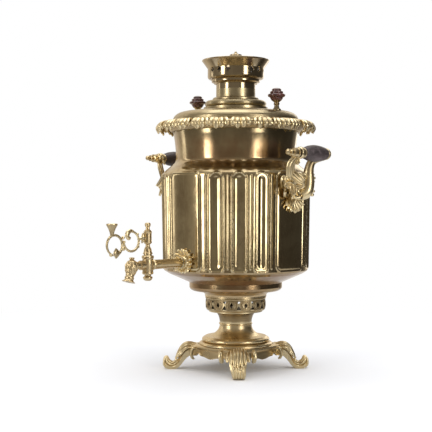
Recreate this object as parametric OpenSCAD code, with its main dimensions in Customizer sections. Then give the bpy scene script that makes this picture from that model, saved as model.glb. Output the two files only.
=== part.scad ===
// Charcoal samovar: a fluted brass boiler round a central flue, on a pierced gallery,
// a waisted pedestal and a square plate with four leaf feet. The tap points along -Y and
// the two handles lie on +X and -X. The origin is on the axis of the boiler, on the table.

/* [Base] */
// Side of the square base plate
base_side = 112; // [96:1:128]
// Corner radius of the base plate
base_corner_r = 20; // [14:1:26]
// Height of the plate's lower edge above the table
plate_clear = 19; // [16:0.5:24]
// Height of the plate's apron
plate_h = 18; // [14:0.5:22]
// Wall of the hollow base plate
plate_wall = 3; // [2:0.5:4]
// Width of each shallow notch in the apron's lower edge
notch_w = 12; // [8:1:16]
// Depth of each notch
notch_h = 5; // [3:0.5:7]
// Radius from the axis to the outermost point of a foot
foot_reach = 109; // [100:1:120]
// Width of a foot's leaf at the knee
knee_w = 37; // [30:1:42]
// Width of a foot at the toe
toe_w = 19; // [15:1:24]
// Depth of the grooves between the ribs of a foot's leaf
rib_depth = 1.6; // [0.8:0.1:2]

/* [Pedestal] */
// Radius of the ring that stands on the plate
ring_r = 55; // [50:0.5:55.5]
// Height of the pedestal, from the plate to the seam at the waist
pedestal_h = 32; // [26:0.5:40]
// Outer radius of the waist
waist_r = 24; // [20:0.5:30]
// Wall of the pedestal
pedestal_wall = 2.5; // [1.5:0.5:4]
// Height of the hollow moulding between the waist and the gallery
cove_h = 18.5; // [14:0.5:24]
// Radius of the bead at the waist seam
seam_bead_r = 1.3; // [0.8:0.1:1.8]

/* [Air gallery] */
// Outer radius of the pierced gallery
gallery_r = 44.4; // [40:0.2:48]
// Height of the gallery
gallery_h = 21; // [18:0.5:26]
// Wall of the gallery
gallery_wall = 2.2; // [1.6:0.1:3]
// Number of medallions round the gallery
vent_count = 13; // [10:1:14]
// Height of the tall lozenge in each medallion
lozenge_h = 9; // [6:0.2:10]
// Width of the lozenge
lozenge_w = 5.4; // [3:0.2:6]
// Section radius of the raised ring round each lozenge
medallion_bead = 0.9; // [0.5:0.1:1.2]

/* [Boiler] */
// Height of the conical bottom of the boiler
skirt_h = 39; // [32:0.5:46]
// Radius of the band at the foot of the conical bottom
skirt_band_r = 69.5; // [62:0.5:78]
// Radius of the wall where it meets the conical bottom
wall_low_r = 107.6; // [100:0.2:112]
// Radius of the wall under the shoulder, its widest
wall_top_r = 110; // [104:0.5:116]
// Height of the fluted wall
wall_h = 140; // [120:0.5:180]
// Height of the shoulder
shoulder_h = 26; // [22:0.5:34]
// Radius of the neck at its narrowest
neck_r = 89.5; // [84:0.5:96]
// Radius of the neck at the rim
rim_r = 93; // [90:0.5:100]
// Height of the neck
neck_h = 54.5; // [44:0.5:60]
// Thickness of the boiler's sheet
sheet_t = 2; // [1.2:0.1:2.6]

/* [Flutes] */
// Number of groups of flutes round the wall
flute_groups = 4; // [3:1:4]
// Flutes in each group
flutes_per_group = 3; // [2:1:4]
// Angle from one flute to the next
flute_pitch = 17; // [15:0.1:18]
// Width of a flute between the middles of its two beads
flute_w = 20.5; // [16:0.5:22]
// Section radius of the raised bead round each flute
flute_bead = 1.8; // [1.4:0.1:2.2]
// Section radius of the thin rib between two flutes
rib_bead = 1.2; // [0.8:0.1:1.8]
// Gap between the lower ends of the flutes and the bottom of the wall
flute_foot_gap = 4.5; // [4:0.5:20]
// Gap between the tops of the arches and the shoulder's foot
flute_top_gap = 2; // [1:0.5:8]
// Half the angle of the plain panel between two groups of flutes
panel_half = 15.5; // [12:0.5:16]

/* [Leaf border] */
// Outer radius of the leaf border
border_r = 120.5; // [114:0.5:128]
// Height of the leaf border
border_h = 18; // [14:0.5:22]
// Number of leaves round the border
leaf_count = 32; // [24:1:36]
// How far the leaf tips stand out past the gaps between them
leaf_relief = 5; // [2:0.5:7]

/* [Lid] */
// How far the lid's edge stands out past the rim
lid_lip = 2; // [1:0.1:3]
// Height of the lid's domed rim above its seat
lid_rise = 15.5; // [10:0.5:20]
// Radius at which the dome of the lid starts to level off
lid_crest_r = 76; // [68:1:84]
// Thickness of the lid
lid_t = 2; // [1.2:0.1:2.6]
// Depth of the ring that keeps the lid central in the neck
spigot_h = 9; // [6:0.5:14]
// Gap between that ring and the neck
spigot_gap = 0.6; // [0.3:0.1:1.2]
// Radius of the step at the foot of the lid's centre
step_r = 48; // [42:0.5:54]
// Radius of the bulge above the step
bulge_r = 46; // [40:0.5:50]
// Radius of the narrow ring over the bulge
neckring_r = 34.6; // [31:0.2:38]
// Height of the lid's collar above the narrow ring
collar_h = 12.5; // [8:0.5:18]
// Wall of the collar
collar_wall = 1.3; // [1:0.1:2]
// Gap between the collar and the flue
flue_gap = 0.6; // [0.3:0.1:1]

/* [Lid knobs] */
// Distance from the axis to each lid knob
knob_at = 80; // [70:1:84]
// Radius of the turned wood
knob_r = 12.2; // [9:0.2:14]
// Height of the turned wood
knob_h = 18; // [14:0.5:22]
// Radius of the brass stem
knob_stem_r = 4; // [3:0.2:5]
// Length of the stem between the lid and the wood
knob_stem_h = 11.5; // [8:0.5:16]
// Radius of the tenon that holds the wood on the stem
knob_tenon_r = 1.8; // [1.2:0.1:2.4]

/* [Steam vent] */
// Distance from the axis to the steam vent
vent_at = 63; // [58:1:66]
// Direction of the vent round the lid
vent_angle = 132.5; // [100:0.5:165]
// Outer radius of the vent's short tube
vent_r = 4.6; // [3.5:0.1:6]
// Bore of the vent
vent_bore_r = 2.6; // [1.5:0.1:3.2]
// Height of the vent's tube above the lid
vent_h = 5; // [3:0.5:6]
// Radius of the vent's loose cap
vent_cap_r = 7; // [6:0.2:8.4]

/* [Flue] */
// Outer radius of the flue at the top
flue_r = 27.4; // [24:0.2:30]
// Outer radius of the fire pot at its foot
pot_r = 41; // [36:0.5:43]
// Height of the fire pot
pot_h = 58; // [40:1:80]
// Thickness of the flue
flue_t = 1.5; // [1:0.1:2.5]
// How far the flue stands up inside the crown's socket
flue_stand = 6; // [4:0.5:7]
// Thickness of the fire grate
grate_t = 3; // [2:0.5:5]
// Width of each slot in the grate
grate_slot = 4; // [3:0.5:5]
// Number of slots in the grate
grate_slots = 7; // [5:2:9]

/* [Crown] */
// Height of the crown's socket under its first step
socket_h = 8; // [7.5:0.5:12]
// Outer radius of the crown's wall
crown_r = 42; // [39:0.5:46]
// Radius of the crown's flared rim
crown_rim_r = 50.5; // [47:0.5:54]
// Height of the crown above its socket
crown_h = 36; // [30:0.5:44]
// Height of the flare under the rim
flare_h = 13; // [8:0.5:16]
// Thickness of the crown
crown_t = 1.8; // [1.2:0.1:2.4]
// Piercings in each group
piercings = 3; // [1:1:4]
// Angle from one piercing to the next
piercing_pitch = 20; // [16:1:24]
// Radius of each lobe of a piercing
lobe_r = 2; // [0.8:0.1:2.4]
// Radius of the cap's disc
cap_r = 36; // [32:0.5:38]
// Height of the cap's domed disc
cap_h = 5.6; // [4:0.2:8]
// Depth of the ring under the disc that drops into the flue's mouth
cap_plug_h = 3; // [2:0.5:5]
// Height of the cap's knob above its disc
cap_knob_h = 33; // [28:0.5:40]
// Radius of the button on the cap's knob
cap_button_r = 9.4; // [7:0.2:11]

/* [Tap] */
// Height of the tap's bore above the table
tap_z = 163.5; // [158:0.5:180]
// Distance from the axis to the tap's key
key_at = 178.5; // [165:0.5:195]
// Outer radius of the tap's pipe
pipe_r = 6.8; // [6:0.1:8]
// Radius of the water way
way_r = 3.4; // [2.5:0.1:3.8]
// Outer radius of the valve barrel
barrel_r = 8; // [7.6:0.1:9]
// Height of the barrel above and below the water way
barrel_half = 13; // [11:0.5:16]
// Radius of the tapered plug at the top
plug_top_r = 5.6; // [5.2:0.1:6]
// Radius of the tapered plug at the bottom
plug_low_r = 4.6; // [4.2:0.1:5]
// Running gap between the plug and its seat
plug_gap = 0.06; // [0.03:0.01:0.1]
// Distance from the key's axis to the spout
spout_at = 29; // [25:0.5:36]
// Radius of the spout's bulb
bulb_r = 7.2; // [6:0.2:8.5]
// Drop from the water way to the spout's lip
spout_drop = 22.5; // [18:0.5:28]
// Radius of the spout's lip
lip_r = 9; // [7:0.2:11]
// Lean of the spout away from the boiler
spout_lean = 16; // [5:1:22]
// Radius of the leaf rosette on the wall
rosette_r = 17; // [14:0.5:20]
// Number of petals in the rosette
petals = 12; // [9:1:14]
// Radius of the threaded shank through the wall
shank_r = 6; // [5:0.1:6.6]
// Gap round the shank in the wall
shank_gap = 0.2; // [0.1:0.1:0.5]
// Length of the shank inside the boiler
shank_in = 12; // [10:0.5:18]

/* [Key] */
// Radius of the key's turned stem
stem_r = 5.8; // [5:0.1:6.6]
// Height of the key from the top of the barrel to its button
key_h = 45; // [38:0.5:54]
// Radius of each of the two rings, to the middle of the bar
scroll_r = 13.3; // [11:0.1:15]
// Section radius of the ring's bar
scroll_bar_r = 1.7; // [1.3:0.1:2.2]
// Height of the rings' middle above the top of the barrel
scroll_z = 20; // [17:0.5:24]
// Fall of the outer ring below the inner one
scroll_fall = 4.1; // [0:0.1:6]
// Length of the link between the stem and the inner ring
scroll_link = 9; // [4:0.5:12]
// Distance between the two rings, from the middle of one bar to the middle of the other
scroll_gap = 3.2; // [2.8:0.1:4]
// Radius of the trumpet's mouth
trumpet_r = 7.3; // [5:0.1:9]
// Height of the trumpet
trumpet_h = 17.5; // [12:0.5:22]

/* [Handles] */
// Distance from the boiler's axis to the grip
grip_at = 141.5; // [136:0.5:150]
// Height of the grip above the table
grip_z = 318; // [310:0.5:330]
// Radius of the wood grip at its middle
grip_r = 12; // [10:0.2:14]
// Length of the wood grip
grip_l = 45; // [36:0.5:52]
// Offset of the wood grip away from the tap
grip_shift = 8.5; // [4:0.5:12]
// Radius of the brass collars
ferrule_r = 7; // [6:0.1:8.5]
// Length of the front collar
ferrule_l = 16; // [12:0.5:18]
// Length of the back collar
back_ferrule_l = 9; // [8:0.5:12]
// Radius of the rod through the grip
rod_r = 2.2; // [1.6:0.1:2.8]
// Length of the bead and ring at the front end
finial_l = 22; // [14:0.5:24]
// Height of the bracket's leaf on the wall
palm_h = 58; // [48:0.5:64]
// Width of the bracket's leaf
palm_w = 27; // [22:0.5:32]
// Height of the middle of the bracket's leaf above the table
palm_z = 263; // [258:0.5:268]
// Thickest radius of an arm
arm_r = 8; // [6:0.1:9]
// Radius of the studs that hold a bracket
stud_r = 2; // [1.6:0.1:2.6]

/* [Hidden] */

$fn = 96;
hull_fn = 32;
// Overshoot of cutting shapes past the faces that they open
cut = 1;

// Levels, from the table up
plate_z = plate_clear + plate_h;
waist_z = plate_z + pedestal_h;
gallery_z = waist_z + cove_h;
skirt_z = gallery_z + gallery_h;
wall_z = skirt_z + skirt_h;
shoulder_z = wall_z + wall_h;
neck_z = shoulder_z + shoulder_h;
rim_z = neck_z + neck_h;
lid_step_z = rim_z + lid_rise + 3.5;
bulge_z = lid_step_z + 3.5;
bulge_h = 10;
neckring_z = bulge_z + bulge_h;
neckring_h = 4.5;
collar_z = neckring_z + neckring_h;
crown_z = collar_z + collar_h;
bowl_z = crown_z + socket_h;
crown_top = bowl_z + crown_h;

// Slope of the boiler's wall, from its foot to its shoulder
wall_lean = atan((wall_top_r - wall_low_r) / wall_h);
function wall_r(z) = wall_low_r + (z - wall_z) * (wall_top_r - wall_low_r) / wall_h;

lid_r = rim_r + lid_lip;
bore_in_lid = flue_r + flue_gap;
collar_r = bore_in_lid + collar_wall;
skirt_neck_r = gallery_r + 1.6;
flue_foot_r = skirt_neck_r - sheet_t;

brass = "#b39355";
pale_brass = "#c6ab6b";
dark_brass = "#8a6a3a";
wood = "#3b2119";
iron = "#4a4643";
leather = "#6b4a2f";

// ---- helpers ----

function unit(v) = v / norm(v);
function middle(p, i = 0, sum = [0, 0, 0]) = i == len(p) ? sum / len(p) : middle(p, i + 1, sum + p[i]);
function back_to_front(p) = [for (i = [len(p) - 1:-1:0]) p[i]];
function mix(a, b, t) = a + (b - a) * t;

// Points on an arc about c, from angle a0 to a1
function arc(c, r, a0, a1, n = 6) =
    [for (i = [0:n]) let (a = mix(a0, a1, i / n)) c + r * [cos(a), sin(a)]];

// Quarter of an ellipse that leaves p upright and reaches q level
function upright_to_level(p, q, n = 6) =
    [for (i = [0:n]) let (a = 90 * i / n) [mix(q[0], p[0], cos(a)), mix(p[1], q[1], sin(a))]];

// Quarter of an ellipse that leaves p level and reaches q upright
function level_to_upright(p, q, n = 6) = back_to_front(upright_to_level(q, p, n));

// S-shaped curve from p to q, upright at both ends
function ogee(p, q, n = 10) =
    [for (i = [0:n]) let (t = i / n) [mix(p[0], q[0], (1 - cos(180 * t)) / 2), mix(p[1], q[1], t)]];

// The outline p moved inwards by t, with level ends
function side_of(p, i) =
    let (d = unit(p[min(i + 1, len(p) - 1)] - p[max(i - 1, 0)])) [-d[1], d[0]];
function inset(p, t) =
    [for (i = [0:len(p) - 1]) (i == 0 || i == len(p) - 1) ? p[i] - [t, 0] : p[i] + t * side_of(p, i)];

module turned(p) rotate_extrude() polygon(p);
module turned_shell(p, t) turned(concat(p, back_to_front(inset(p, t))));

// Point on a smooth curve through the list p, at t from 0 to its last index
function through(p, t) =
    let (n = len(p) - 1, i = min(floor(t), n - 1), u = t - i,
         a = p[max(i - 1, 0)], b = p[i], c = p[i + 1], d = p[min(i + 2, n)])
    0.5 * (2 * b + (c - a) * u + (2 * a - 5 * b + 4 * c - d) * u * u
        + (3 * b - a - 3 * c + d) * u * u * u);

// One closed solid through a list of rings, each with as many points
module skin(rings) {
    n = len(rings[0]);
    m = len(rings);
    points = concat([for (r = rings) each r], [middle(rings[0]), middle(rings[m - 1])]);
    sides = [for (i = [0:m - 2], j = [0:n - 1])
        let (k = (j + 1) % n)
        each [[i * n + j, i * n + k, (i + 1) * n + k], [i * n + j, (i + 1) * n + k, (i + 1) * n + j]]];
    first = [for (j = [0:n - 1]) [(j + 1) % n, j, m * n]];
    last = [for (j = [0:n - 1]) [(m - 1) * n + j, (m - 1) * n + (j + 1) % n, m * n + 1]];
    polyhedron(points = points, faces = concat(sides, first, last), convexity = 8);
}

// A closed band: the last ring joins the first
module band(rings) {
    n = len(rings[0]);
    m = len(rings);
    points = [for (r = rings) each r];
    faces = [for (i = [0:m - 1], j = [0:n - 1])
        let (k = (j + 1) % n, h = (i + 1) % m)
        each [[i * n + j, i * n + k, h * n + k], [i * n + j, h * n + k, h * n + j]]];
    polyhedron(points = points, faces = faces, convexity = 8);
}

// Modelled surfaces joined into one casting, at their own size
module sculpted() resize([0, 0, 0]) union() children();

// Bar of round section along an arc in the XZ plane
module arc_bar(r, bar_r, from, sweep)
    rotate([90, 0, 0]) rotate([0, 0, from])
        rotate_extrude(angle = sweep) translate([r, 0]) circle(r = bar_r, $fn = hull_fn);

module hexagon(across, h) cylinder(r = across / 2 / cos(30), h = h, $fn = 6);

// ---- boiler ----

wall_line = concat(
    level_to_upright([wall_low_r - 1.6, wall_z], [wall_low_r, wall_z + 2.5], 3),
    [[wall_top_r, shoulder_z]]
);
neck_line = concat(
    ogee([wall_top_r, shoulder_z], [neck_r, neck_z], 14),
    [for (i = [1:6]) [mix(neck_r, rim_r, pow(i / 6, 2)), mix(neck_z, rim_z - border_h, i / 6)]],
    [[rim_r, rim_z]]
);

// Everything inside the boiler's outer face, to seat castings on it
module wall_solid() turned(concat(wall_line, neck_line, [[0, rim_z], [0, wall_z]]));

// The straight part of the wall alone, carried on past the shoulder
module wall_cone() translate([0, 0, wall_z])
    cylinder(r1 = wall_low_r, r2 = wall_r(neck_z), h = neck_z - wall_z);

flute_low = wall_z + flute_foot_gap;
flute_high = shoulder_z - flute_top_gap;

// Places a shape on the wall, upright along it, at a height above the table
module on_wall(angle, z)
    rotate([0, 0, angle]) translate([wall_r(z), 0, z]) rotate([0, wall_lean, 0]) children();

// Raised outline of one flute: two bars joined by an arch at each end
module flute(angle) {
    arch_r = flute_w / 2;
    bar = flute_high - flute_low - 2 * arch_r;
    on_wall(angle, flute_low + arch_r) {
        for (y = [-arch_r, arch_r]) translate([0, y, 0]) cylinder(r = flute_bead, h = bar);
        for (end = [0, 1]) translate([0, 0, end * bar]) rotate([180 * (1 - end), 0, 0]) arch(arch_r);
    }
}

module arch(r)
    rotate([90, 0, 90]) rotate_extrude(angle = 180) translate([r, 0]) circle(r = flute_bead, $fn = hull_fn);

// Thin rib beside a flute, with round ends
module rib(angle) {
    h = flute_high - flute_low - 2 * flute_w * 0.3;
    on_wall(angle, flute_low + flute_w * 0.3) {
        cylinder(r = rib_bead, h = h);
        for (z = [0, h]) translate([0, 0, z]) sphere(r = rib_bead, $fn = hull_fn);
    }
}

module fluting()
    for (g = [0:flute_groups - 1]) {
        middle = 45 + g * 360 / flute_groups;
        first = middle - flute_pitch * (flutes_per_group - 1) / 2;
        for (i = [0:flutes_per_group - 1]) flute(first + i * flute_pitch);
        for (i = [0:flutes_per_group]) rib(first + (i - 0.5) * flute_pitch);
    }

stud_places = [palm_z - palm_h * 0.2, palm_z + palm_h * 0.2];

module body_shell() color(brass) difference() {
    union() {
        turned_shell(wall_line, sheet_t);
        fluting();
        for (angle = [0, 90, 180, 270], side = [-1, 1]) rib(angle + side * panel_half);
    }
    translate([0, 0, tap_z]) rotate([90, 0, 0]) cylinder(r = shank_r + shank_gap, h = wall_top_r * 2);
    for (z = stud_places, side = [-1, 1])
        translate([0, 0, z]) rotate([0, side * 90, 0]) cylinder(r = stud_r + shank_gap, h = wall_top_r * 2);
}

// Shoulder and neck, spun from one sheet and soldered to the top of the wall
module body_neck() color(brass) turned_shell(neck_line, sheet_t);

module boiler_bottom() color(brass) turned_shell(concat(
    [[skirt_neck_r, skirt_z], [skirt_neck_r, skirt_z + 2]],
    upright_to_level([skirt_neck_r, skirt_z + 2], [skirt_band_r - 8, skirt_z + 9], 5),
    level_to_upright([skirt_band_r - 7, skirt_z + 9], [skirt_band_r, skirt_z + 15], 5),
    [[skirt_band_r, skirt_z + 21.5], [skirt_band_r + 1.5, skirt_z + 22.5]],
    [[wall_low_r - 7, wall_z - 3.5], [wall_low_r - 1.6, wall_z]]
), sheet_t);

// Outline of the leaf border at one place: f is 1 at the middle of a leaf, 0 between two
function border_section(f) =
    let (tip = border_r - leaf_relief * (1 - f), drop = border_h * (0.8 + 0.2 * f),
         puff = 2.4 * f)
    [[rim_r + 4, rim_z - border_h * 0.72], [rim_r + 12, rim_z - border_h * 0.5], [tip - 6.5, rim_z - drop * 0.78],
     [tip - 5, rim_z - drop], [tip - 2, rim_z - drop * 0.94], [tip, rim_z - drop * 0.68],
     [tip - 1, rim_z - drop * 0.42], [tip - 5, rim_z - 2.6 + puff * 0.5], [rim_r + 15, rim_z + puff - 0.6],
     [rim_r + 9, rim_z + puff * 0.8], [rim_r + 4, rim_z - 0.3], [rim_r, rim_z - 0.3],
     [rim_r, rim_z - border_h]];
steps_per_leaf = 6;
function leaf_swell(i) = pow(abs(sin(180 * (i % steps_per_leaf) / steps_per_leaf)), 0.7);

module leaf_border() color(pale_brass) band([
    for (i = [0:leaf_count * steps_per_leaf - 1])
        let (a = 360 * i / (leaf_count * steps_per_leaf))
        [for (p = border_section(leaf_swell(i))) [p[0] * cos(a), p[0] * sin(a), p[1]]]
]);

// ---- flue and fire ----

flue_throat_r = 36;
flange_t = 2;

module flue_tube() color(dark_brass) {
    outline = [[flue_throat_r, skirt_z], [flue_throat_r, skirt_z + 14], [pot_r, skirt_z + 24],
        [pot_r, skirt_z + 24 + pot_h], [flue_r, neck_z - shoulder_h / 2], [flue_r, crown_z + flue_stand]];
    turned_shell(outline, flue_t);
    translate([0, 0, skirt_z]) difference() {
        cylinder(r = flue_foot_r, h = flange_t);
        translate([0, 0, -cut]) cylinder(r = flue_throat_r - flue_t - 3, h = flange_t + 2 * cut);
    }
}

module fire_grate() color(iron) translate([0, 0, skirt_z + flange_t]) difference() {
    r = flue_throat_r - flue_t - 0.5;
    cylinder(r = r, h = grate_t);
    pitch = 2 * r / (grate_slots + 1);
    for (i = [0:grate_slots - 1]) {
        x = (i - (grate_slots - 1) / 2) * pitch;
        l = 2 * sqrt(pow(r - 4, 2) - x * x);
        translate([x - grate_slot / 2, -l / 2, -cut]) cube([grate_slot, l, grate_t + 2 * cut]);
    }
}

// ---- gallery and pedestal ----

vent_z = gallery_z + 3.5 + (gallery_h - 7) / 2;
vent_half = (gallery_h - 9) / 2;
medallion_gap = 1.5;

// Prism through the gallery's wall from a flat outline: x runs round the wall, y runs up
module through_gallery(angle, p)
    rotate([0, 0, angle]) translate([gallery_r - 6, 0, vent_z]) rotate([90, 0, 90])
        linear_extrude(height = 12) polygon(p);

module air_gallery() color(pale_brass) {
    pitch = 360 / vent_count;
    gap_w = gallery_r * sin(pitch) - lozenge_h - 2 * (medallion_gap + medallion_bead);
    difference() {
        union() {
            turned(concat([[0, gallery_z], [gallery_r - 4.4, gallery_z]],
                level_to_upright([gallery_r - 4.4, gallery_z], [gallery_r, gallery_z + 3.5], 4),
                arc([gallery_r, gallery_z + gallery_h - 2], 1.2, -90, 90, 6),
                [[gallery_r, gallery_z + gallery_h], [gallery_r - gallery_wall, gallery_z + gallery_h],
                 [gallery_r - gallery_wall, gallery_z + 2.5], [0, gallery_z + 2.5]]));
            for (i = [0:vent_count - 1])
                rotate([0, 0, i * pitch]) translate([gallery_r - 0.4, 0, vent_z]) rotate([90, 0, 90])
                    rotate_extrude() translate([lozenge_h / 2 + medallion_gap, 0]) circle(r = medallion_bead, $fn = hull_fn);
        }
        for (i = [0:vent_count - 1]) {
            through_gallery(i * pitch, [[0, -lozenge_h / 2], [lozenge_w / 2, 0], [0, lozenge_h / 2],
                [-lozenge_w / 2, 0]]);
            through_gallery((i + 0.5) * pitch, [[-gap_w / 2, -vent_half], [gap_w / 2, -vent_half],
                [0, 0.6]]);
            through_gallery((i + 0.5) * pitch, [[0, 1.8], [gap_w * 0.36, vent_half],
                [-gap_w * 0.36, vent_half]]);
        }
    }
}

module pedestal_cove() color(pale_brass) turned(concat(
    [[waist_r, waist_z]],
    upright_to_level([waist_r, waist_z], [waist_r + 9, gallery_z - 1.6], 7),
    [[gallery_r - 4.4, gallery_z - 1.6], [gallery_r - 4.4, gallery_z]],
    [[waist_r + 6, gallery_z], [waist_r - pedestal_wall, waist_z + 3], [waist_r - pedestal_wall, waist_z]]
));

torus_r = 3.2;

module pedestal() color(brass) {
    foot = ring_r - 7.5;
    outline = concat(
        [[ring_r, plate_z]],
        upright_to_level([ring_r, plate_z + 1], [foot + 1.5, plate_z + 4.2], 4),
        arc([foot, plate_z + 4.2 + torus_r], torus_r, -80, 80, 8),
        level_to_upright([foot - 1.5, plate_z + 4.2 + 2 * torus_r + 1.6], [waist_r, waist_z - seam_bead_r * 2], 10),
        arc([waist_r, waist_z - seam_bead_r], seam_bead_r, -90, 90, 6)
    );
    turned(concat(outline, [[waist_r - pedestal_wall, waist_z], [waist_r - pedestal_wall, waist_z - 14],
        [foot - 8, plate_z + 8], [foot - 4, plate_z]]));
}

// Square with round corners
module rounded_square(side, r) {
    for (turn = [0, 90]) rotate([0, 0, turn]) square([side, side - 2 * r], center = true);
    for (x = [-1, 1], y = [-1, 1]) translate([x, y] * (side / 2 - r)) circle(r = r);
}

module plate_solid() translate([0, 0, plate_clear])
    linear_extrude(height = plate_h) rounded_square(base_side, base_corner_r);

module base_plate() color(brass) difference() {
    plate_solid();
    translate([0, 0, plate_clear - cut]) linear_extrude(height = plate_h - plate_wall + cut)
        rounded_square(base_side - 2 * plate_wall, base_corner_r - plate_wall);
    for (turn = [0:90:270], side = [-1, 1])
        rotate([0, 0, turn])
            translate([base_side / 2 - plate_wall - cut, side * (base_side / 2 - base_corner_r) - notch_w / 2,
                plate_clear - cut])
                cube([plate_wall + 2 * cut, notch_w, notch_h + cut]);
}

// ---- feet ----

// Top and under side of a foot from its root to its toe: [inwards from the toe's reach, height]
foot_top = [[-57, 30], [-48, 36.4], [-41.5, 38.4], [-34.5, 37.6], [-29, 33], [-25.5, 26.5], [-23, 19.5],
    [-20, 13], [-16, 9.6], [-12, 9.6], [-8, 12], [-5.8, 15], [-4.4, 17]];
foot_under = [[-57, 24], [-50, 23], [-43.5, 22], [-38.5, 19.5], [-34.5, 16], [-31, 12], [-28, 8],
    [-24, 3.6], [-18, 0.2], [-11, -0.6], [-4.6, 2], [-1, 8], [-2.6, 14]];
foot_width = [0.72, 0.9, 1, 1, 0.96, 0.88, 0.74, 0.6, 0.53, 0.52, 0.5, 0.42, 0.26];
foot_steps = 26;
foot_ribs = 7;
foot_ring = 22;

// Ring of points across the foot: a ribbed, crowned top and a plain under side
function foot_section(t) =
    let (top = through(foot_top, t), low = through(foot_under, t),
         w = mix(toe_w, knee_w, (through(foot_width, t) - 0.52) / 0.48) / 2,
         up = unit(top - low), rib = rib_depth * min(1, w * 2 / knee_w + 0.2))
    concat(
        [for (j = [0:foot_ring - 1]) let (s = mix(-1, 1, j / (foot_ring - 1)),
                fall = rib * abs(sin(90 * foot_ribs * (s + 1))) + norm(top - low) * 0.42 * s * s,
                p = top - up * fall)
            [foot_reach + p[0], w * s, p[1]]],
        [for (s = [0.8, 0.3, -0.3, -0.8]) [foot_reach + low[0], w * s, low[1]]]
    );

module foot(angle) color(pale_brass) rotate([0, 0, angle]) difference() {
    skin([for (i = [0:foot_steps]) foot_section(i * (len(foot_top) - 1) / foot_steps)]);
    rotate([0, 0, -angle]) plate_solid();
    translate([0, -50, -10]) cube([2 * foot_reach, 100, 10]);
}

// ---- lid ----

spigot_r = rim_r - sheet_t - spigot_gap;
collar_foot_r = bulge_r - bulge_h / 2 - 3;

lid_edge = concat(
    [[lid_r, rim_z], [lid_r, rim_z + 2.5]],
    upright_to_level([lid_r - 1, rim_z + 3], [lid_crest_r, rim_z + lid_rise], 8),
    [[step_r + 2, lid_step_z - 0.5]]
);

// The dome: from its edge up to the ledge that the collar stands on
module lid() color(pale_brass) difference() {
    union() {
        turned(concat(lid_edge, [[step_r, lid_step_z], [step_r, bulge_z], [collar_foot_r, bulge_z],
            [collar_foot_r, bulge_z - lid_t], [step_r - lid_t, bulge_z - lid_t], [step_r - lid_t, lid_step_z - lid_t]],
            back_to_front([for (p = inset(lid_edge, lid_t)) if (p[1] > rim_z + lid_t && p[0] < lid_r - lid_t) p]),
            [[spigot_r, rim_z + lid_t], [spigot_r, rim_z]]));
        vent_place() cylinder(r = vent_r, h = vent_h + 4);
    }
    vent_place() translate([0, 0, -8]) cylinder(r = vent_bore_r, h = 8 + vent_h + 4 + cut);
}

// Ring under the dome that keeps the lid central in the neck
module lid_ring() color(pale_brass) translate([0, 0, rim_z - spigot_h]) difference() {
    cylinder(r = spigot_r, h = spigot_h + lid_t);
    translate([0, 0, -cut]) cylinder(r = spigot_r - lid_t, h = spigot_h + lid_t + 2 * cut);
}

// Collar round the flue: a bulge, a narrow ring and the tube that the crown stands on
module lid_collar() color(pale_brass) turned(concat(
    [[collar_foot_r, bulge_z]],
    arc([bulge_r - bulge_h / 2, bulge_z + bulge_h / 2], bulge_h / 2, -90, 90, 10),
    [[neckring_r, neckring_z], [neckring_r, collar_z - 1.5], [neckring_r - 1.5, collar_z],
     [collar_r, collar_z], [collar_r, crown_z], [bore_in_lid, crown_z], [bore_in_lid, neckring_z + 1.5],
     [bore_in_lid + 2, neckring_z - 1.5], [bulge_r - bulge_h / 2, neckring_z - lid_t]],
    back_to_front(arc([bulge_r - bulge_h / 2, bulge_z + bulge_h / 2], bulge_h / 2 - lid_t, -80, 80, 8)),
    [[collar_foot_r, bulge_z + lid_t]]
));

// Height of the lid's top between the dome and the step
function lid_top(r) = mix(rim_z + lid_rise, lid_step_z - 0.5, (lid_crest_r - r) / (lid_crest_r - step_r - 2));

module vent_place() rotate([0, 0, vent_angle]) translate([vent_at, 0, lid_top(vent_at) - 4]) children();

module vent_cap() color(dark_brass) rotate([0, 0, vent_angle])
    translate([vent_at, 0, lid_top(vent_at) + vent_h]) turned([
        [0, 0], [vent_r + 0.4, 0], [vent_r + 0.4, -vent_h * 0.5], [vent_cap_r - 1, -vent_h * 0.5],
        [vent_cap_r, -vent_h * 0.3], [vent_cap_r, 0.6], [vent_cap_r - 2, 2], [2, 3], [1.6, 4.4], [2.6, 5.4],
        [2.6, 6.2], [1.4, 7], [0, 7.2]]);

// Low enough for the stem's base to seat on the dome all round
knob_z = lid_top(knob_at) - 2.2;

module knob_stem(side) color(brass) translate([side * knob_at, 0, knob_z]) difference() {
    turned([[0, 0], [6.5, 0], [6.2, 1.6], [knob_stem_r, 3], [knob_stem_r - 0.8, knob_stem_h * 0.5],
        [knob_stem_r, knob_stem_h * 0.62], [knob_stem_r + 2.5, knob_stem_h], [knob_tenon_r, knob_stem_h],
        [knob_tenon_r, knob_stem_h + knob_h * 0.6], [0, knob_stem_h + knob_h * 0.6]]);
    translate([-side * knob_at, 0, -knob_z]) lid_dome();
}

// Everything under the lid's dome, to seat the knobs' stems on it
module lid_dome() turned(concat(lid_edge, [[0, lid_step_z - 0.5], [0, rim_z]]));

module knob(side) color(wood) translate([side * knob_at, 0, knob_z + knob_stem_h]) difference() {
    turned(concat([[0, 0], [knob_stem_r + 2.5, 0], [knob_r - 3, knob_h * 0.22]],
        arc([knob_r - 2.2, knob_h * 0.38], 2.2, -60, 60, 6),
        [[knob_r * 0.72, knob_h * 0.56], [knob_r * 0.74, knob_h * 0.66]],
        arc([knob_r * 0.6 - 1.4, knob_h * 0.84], 1.7, -50, 70, 5),
        [[knob_r * 0.36, knob_h * 0.98], [0, knob_h]]));
    translate([0, 0, -cut]) cylinder(r = knob_tenon_r, h = knob_h * 0.6 + cut);
}

// ---- crown and cap ----

ledge_z = bowl_z + 9;
ledge_t = 1.6;

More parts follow.
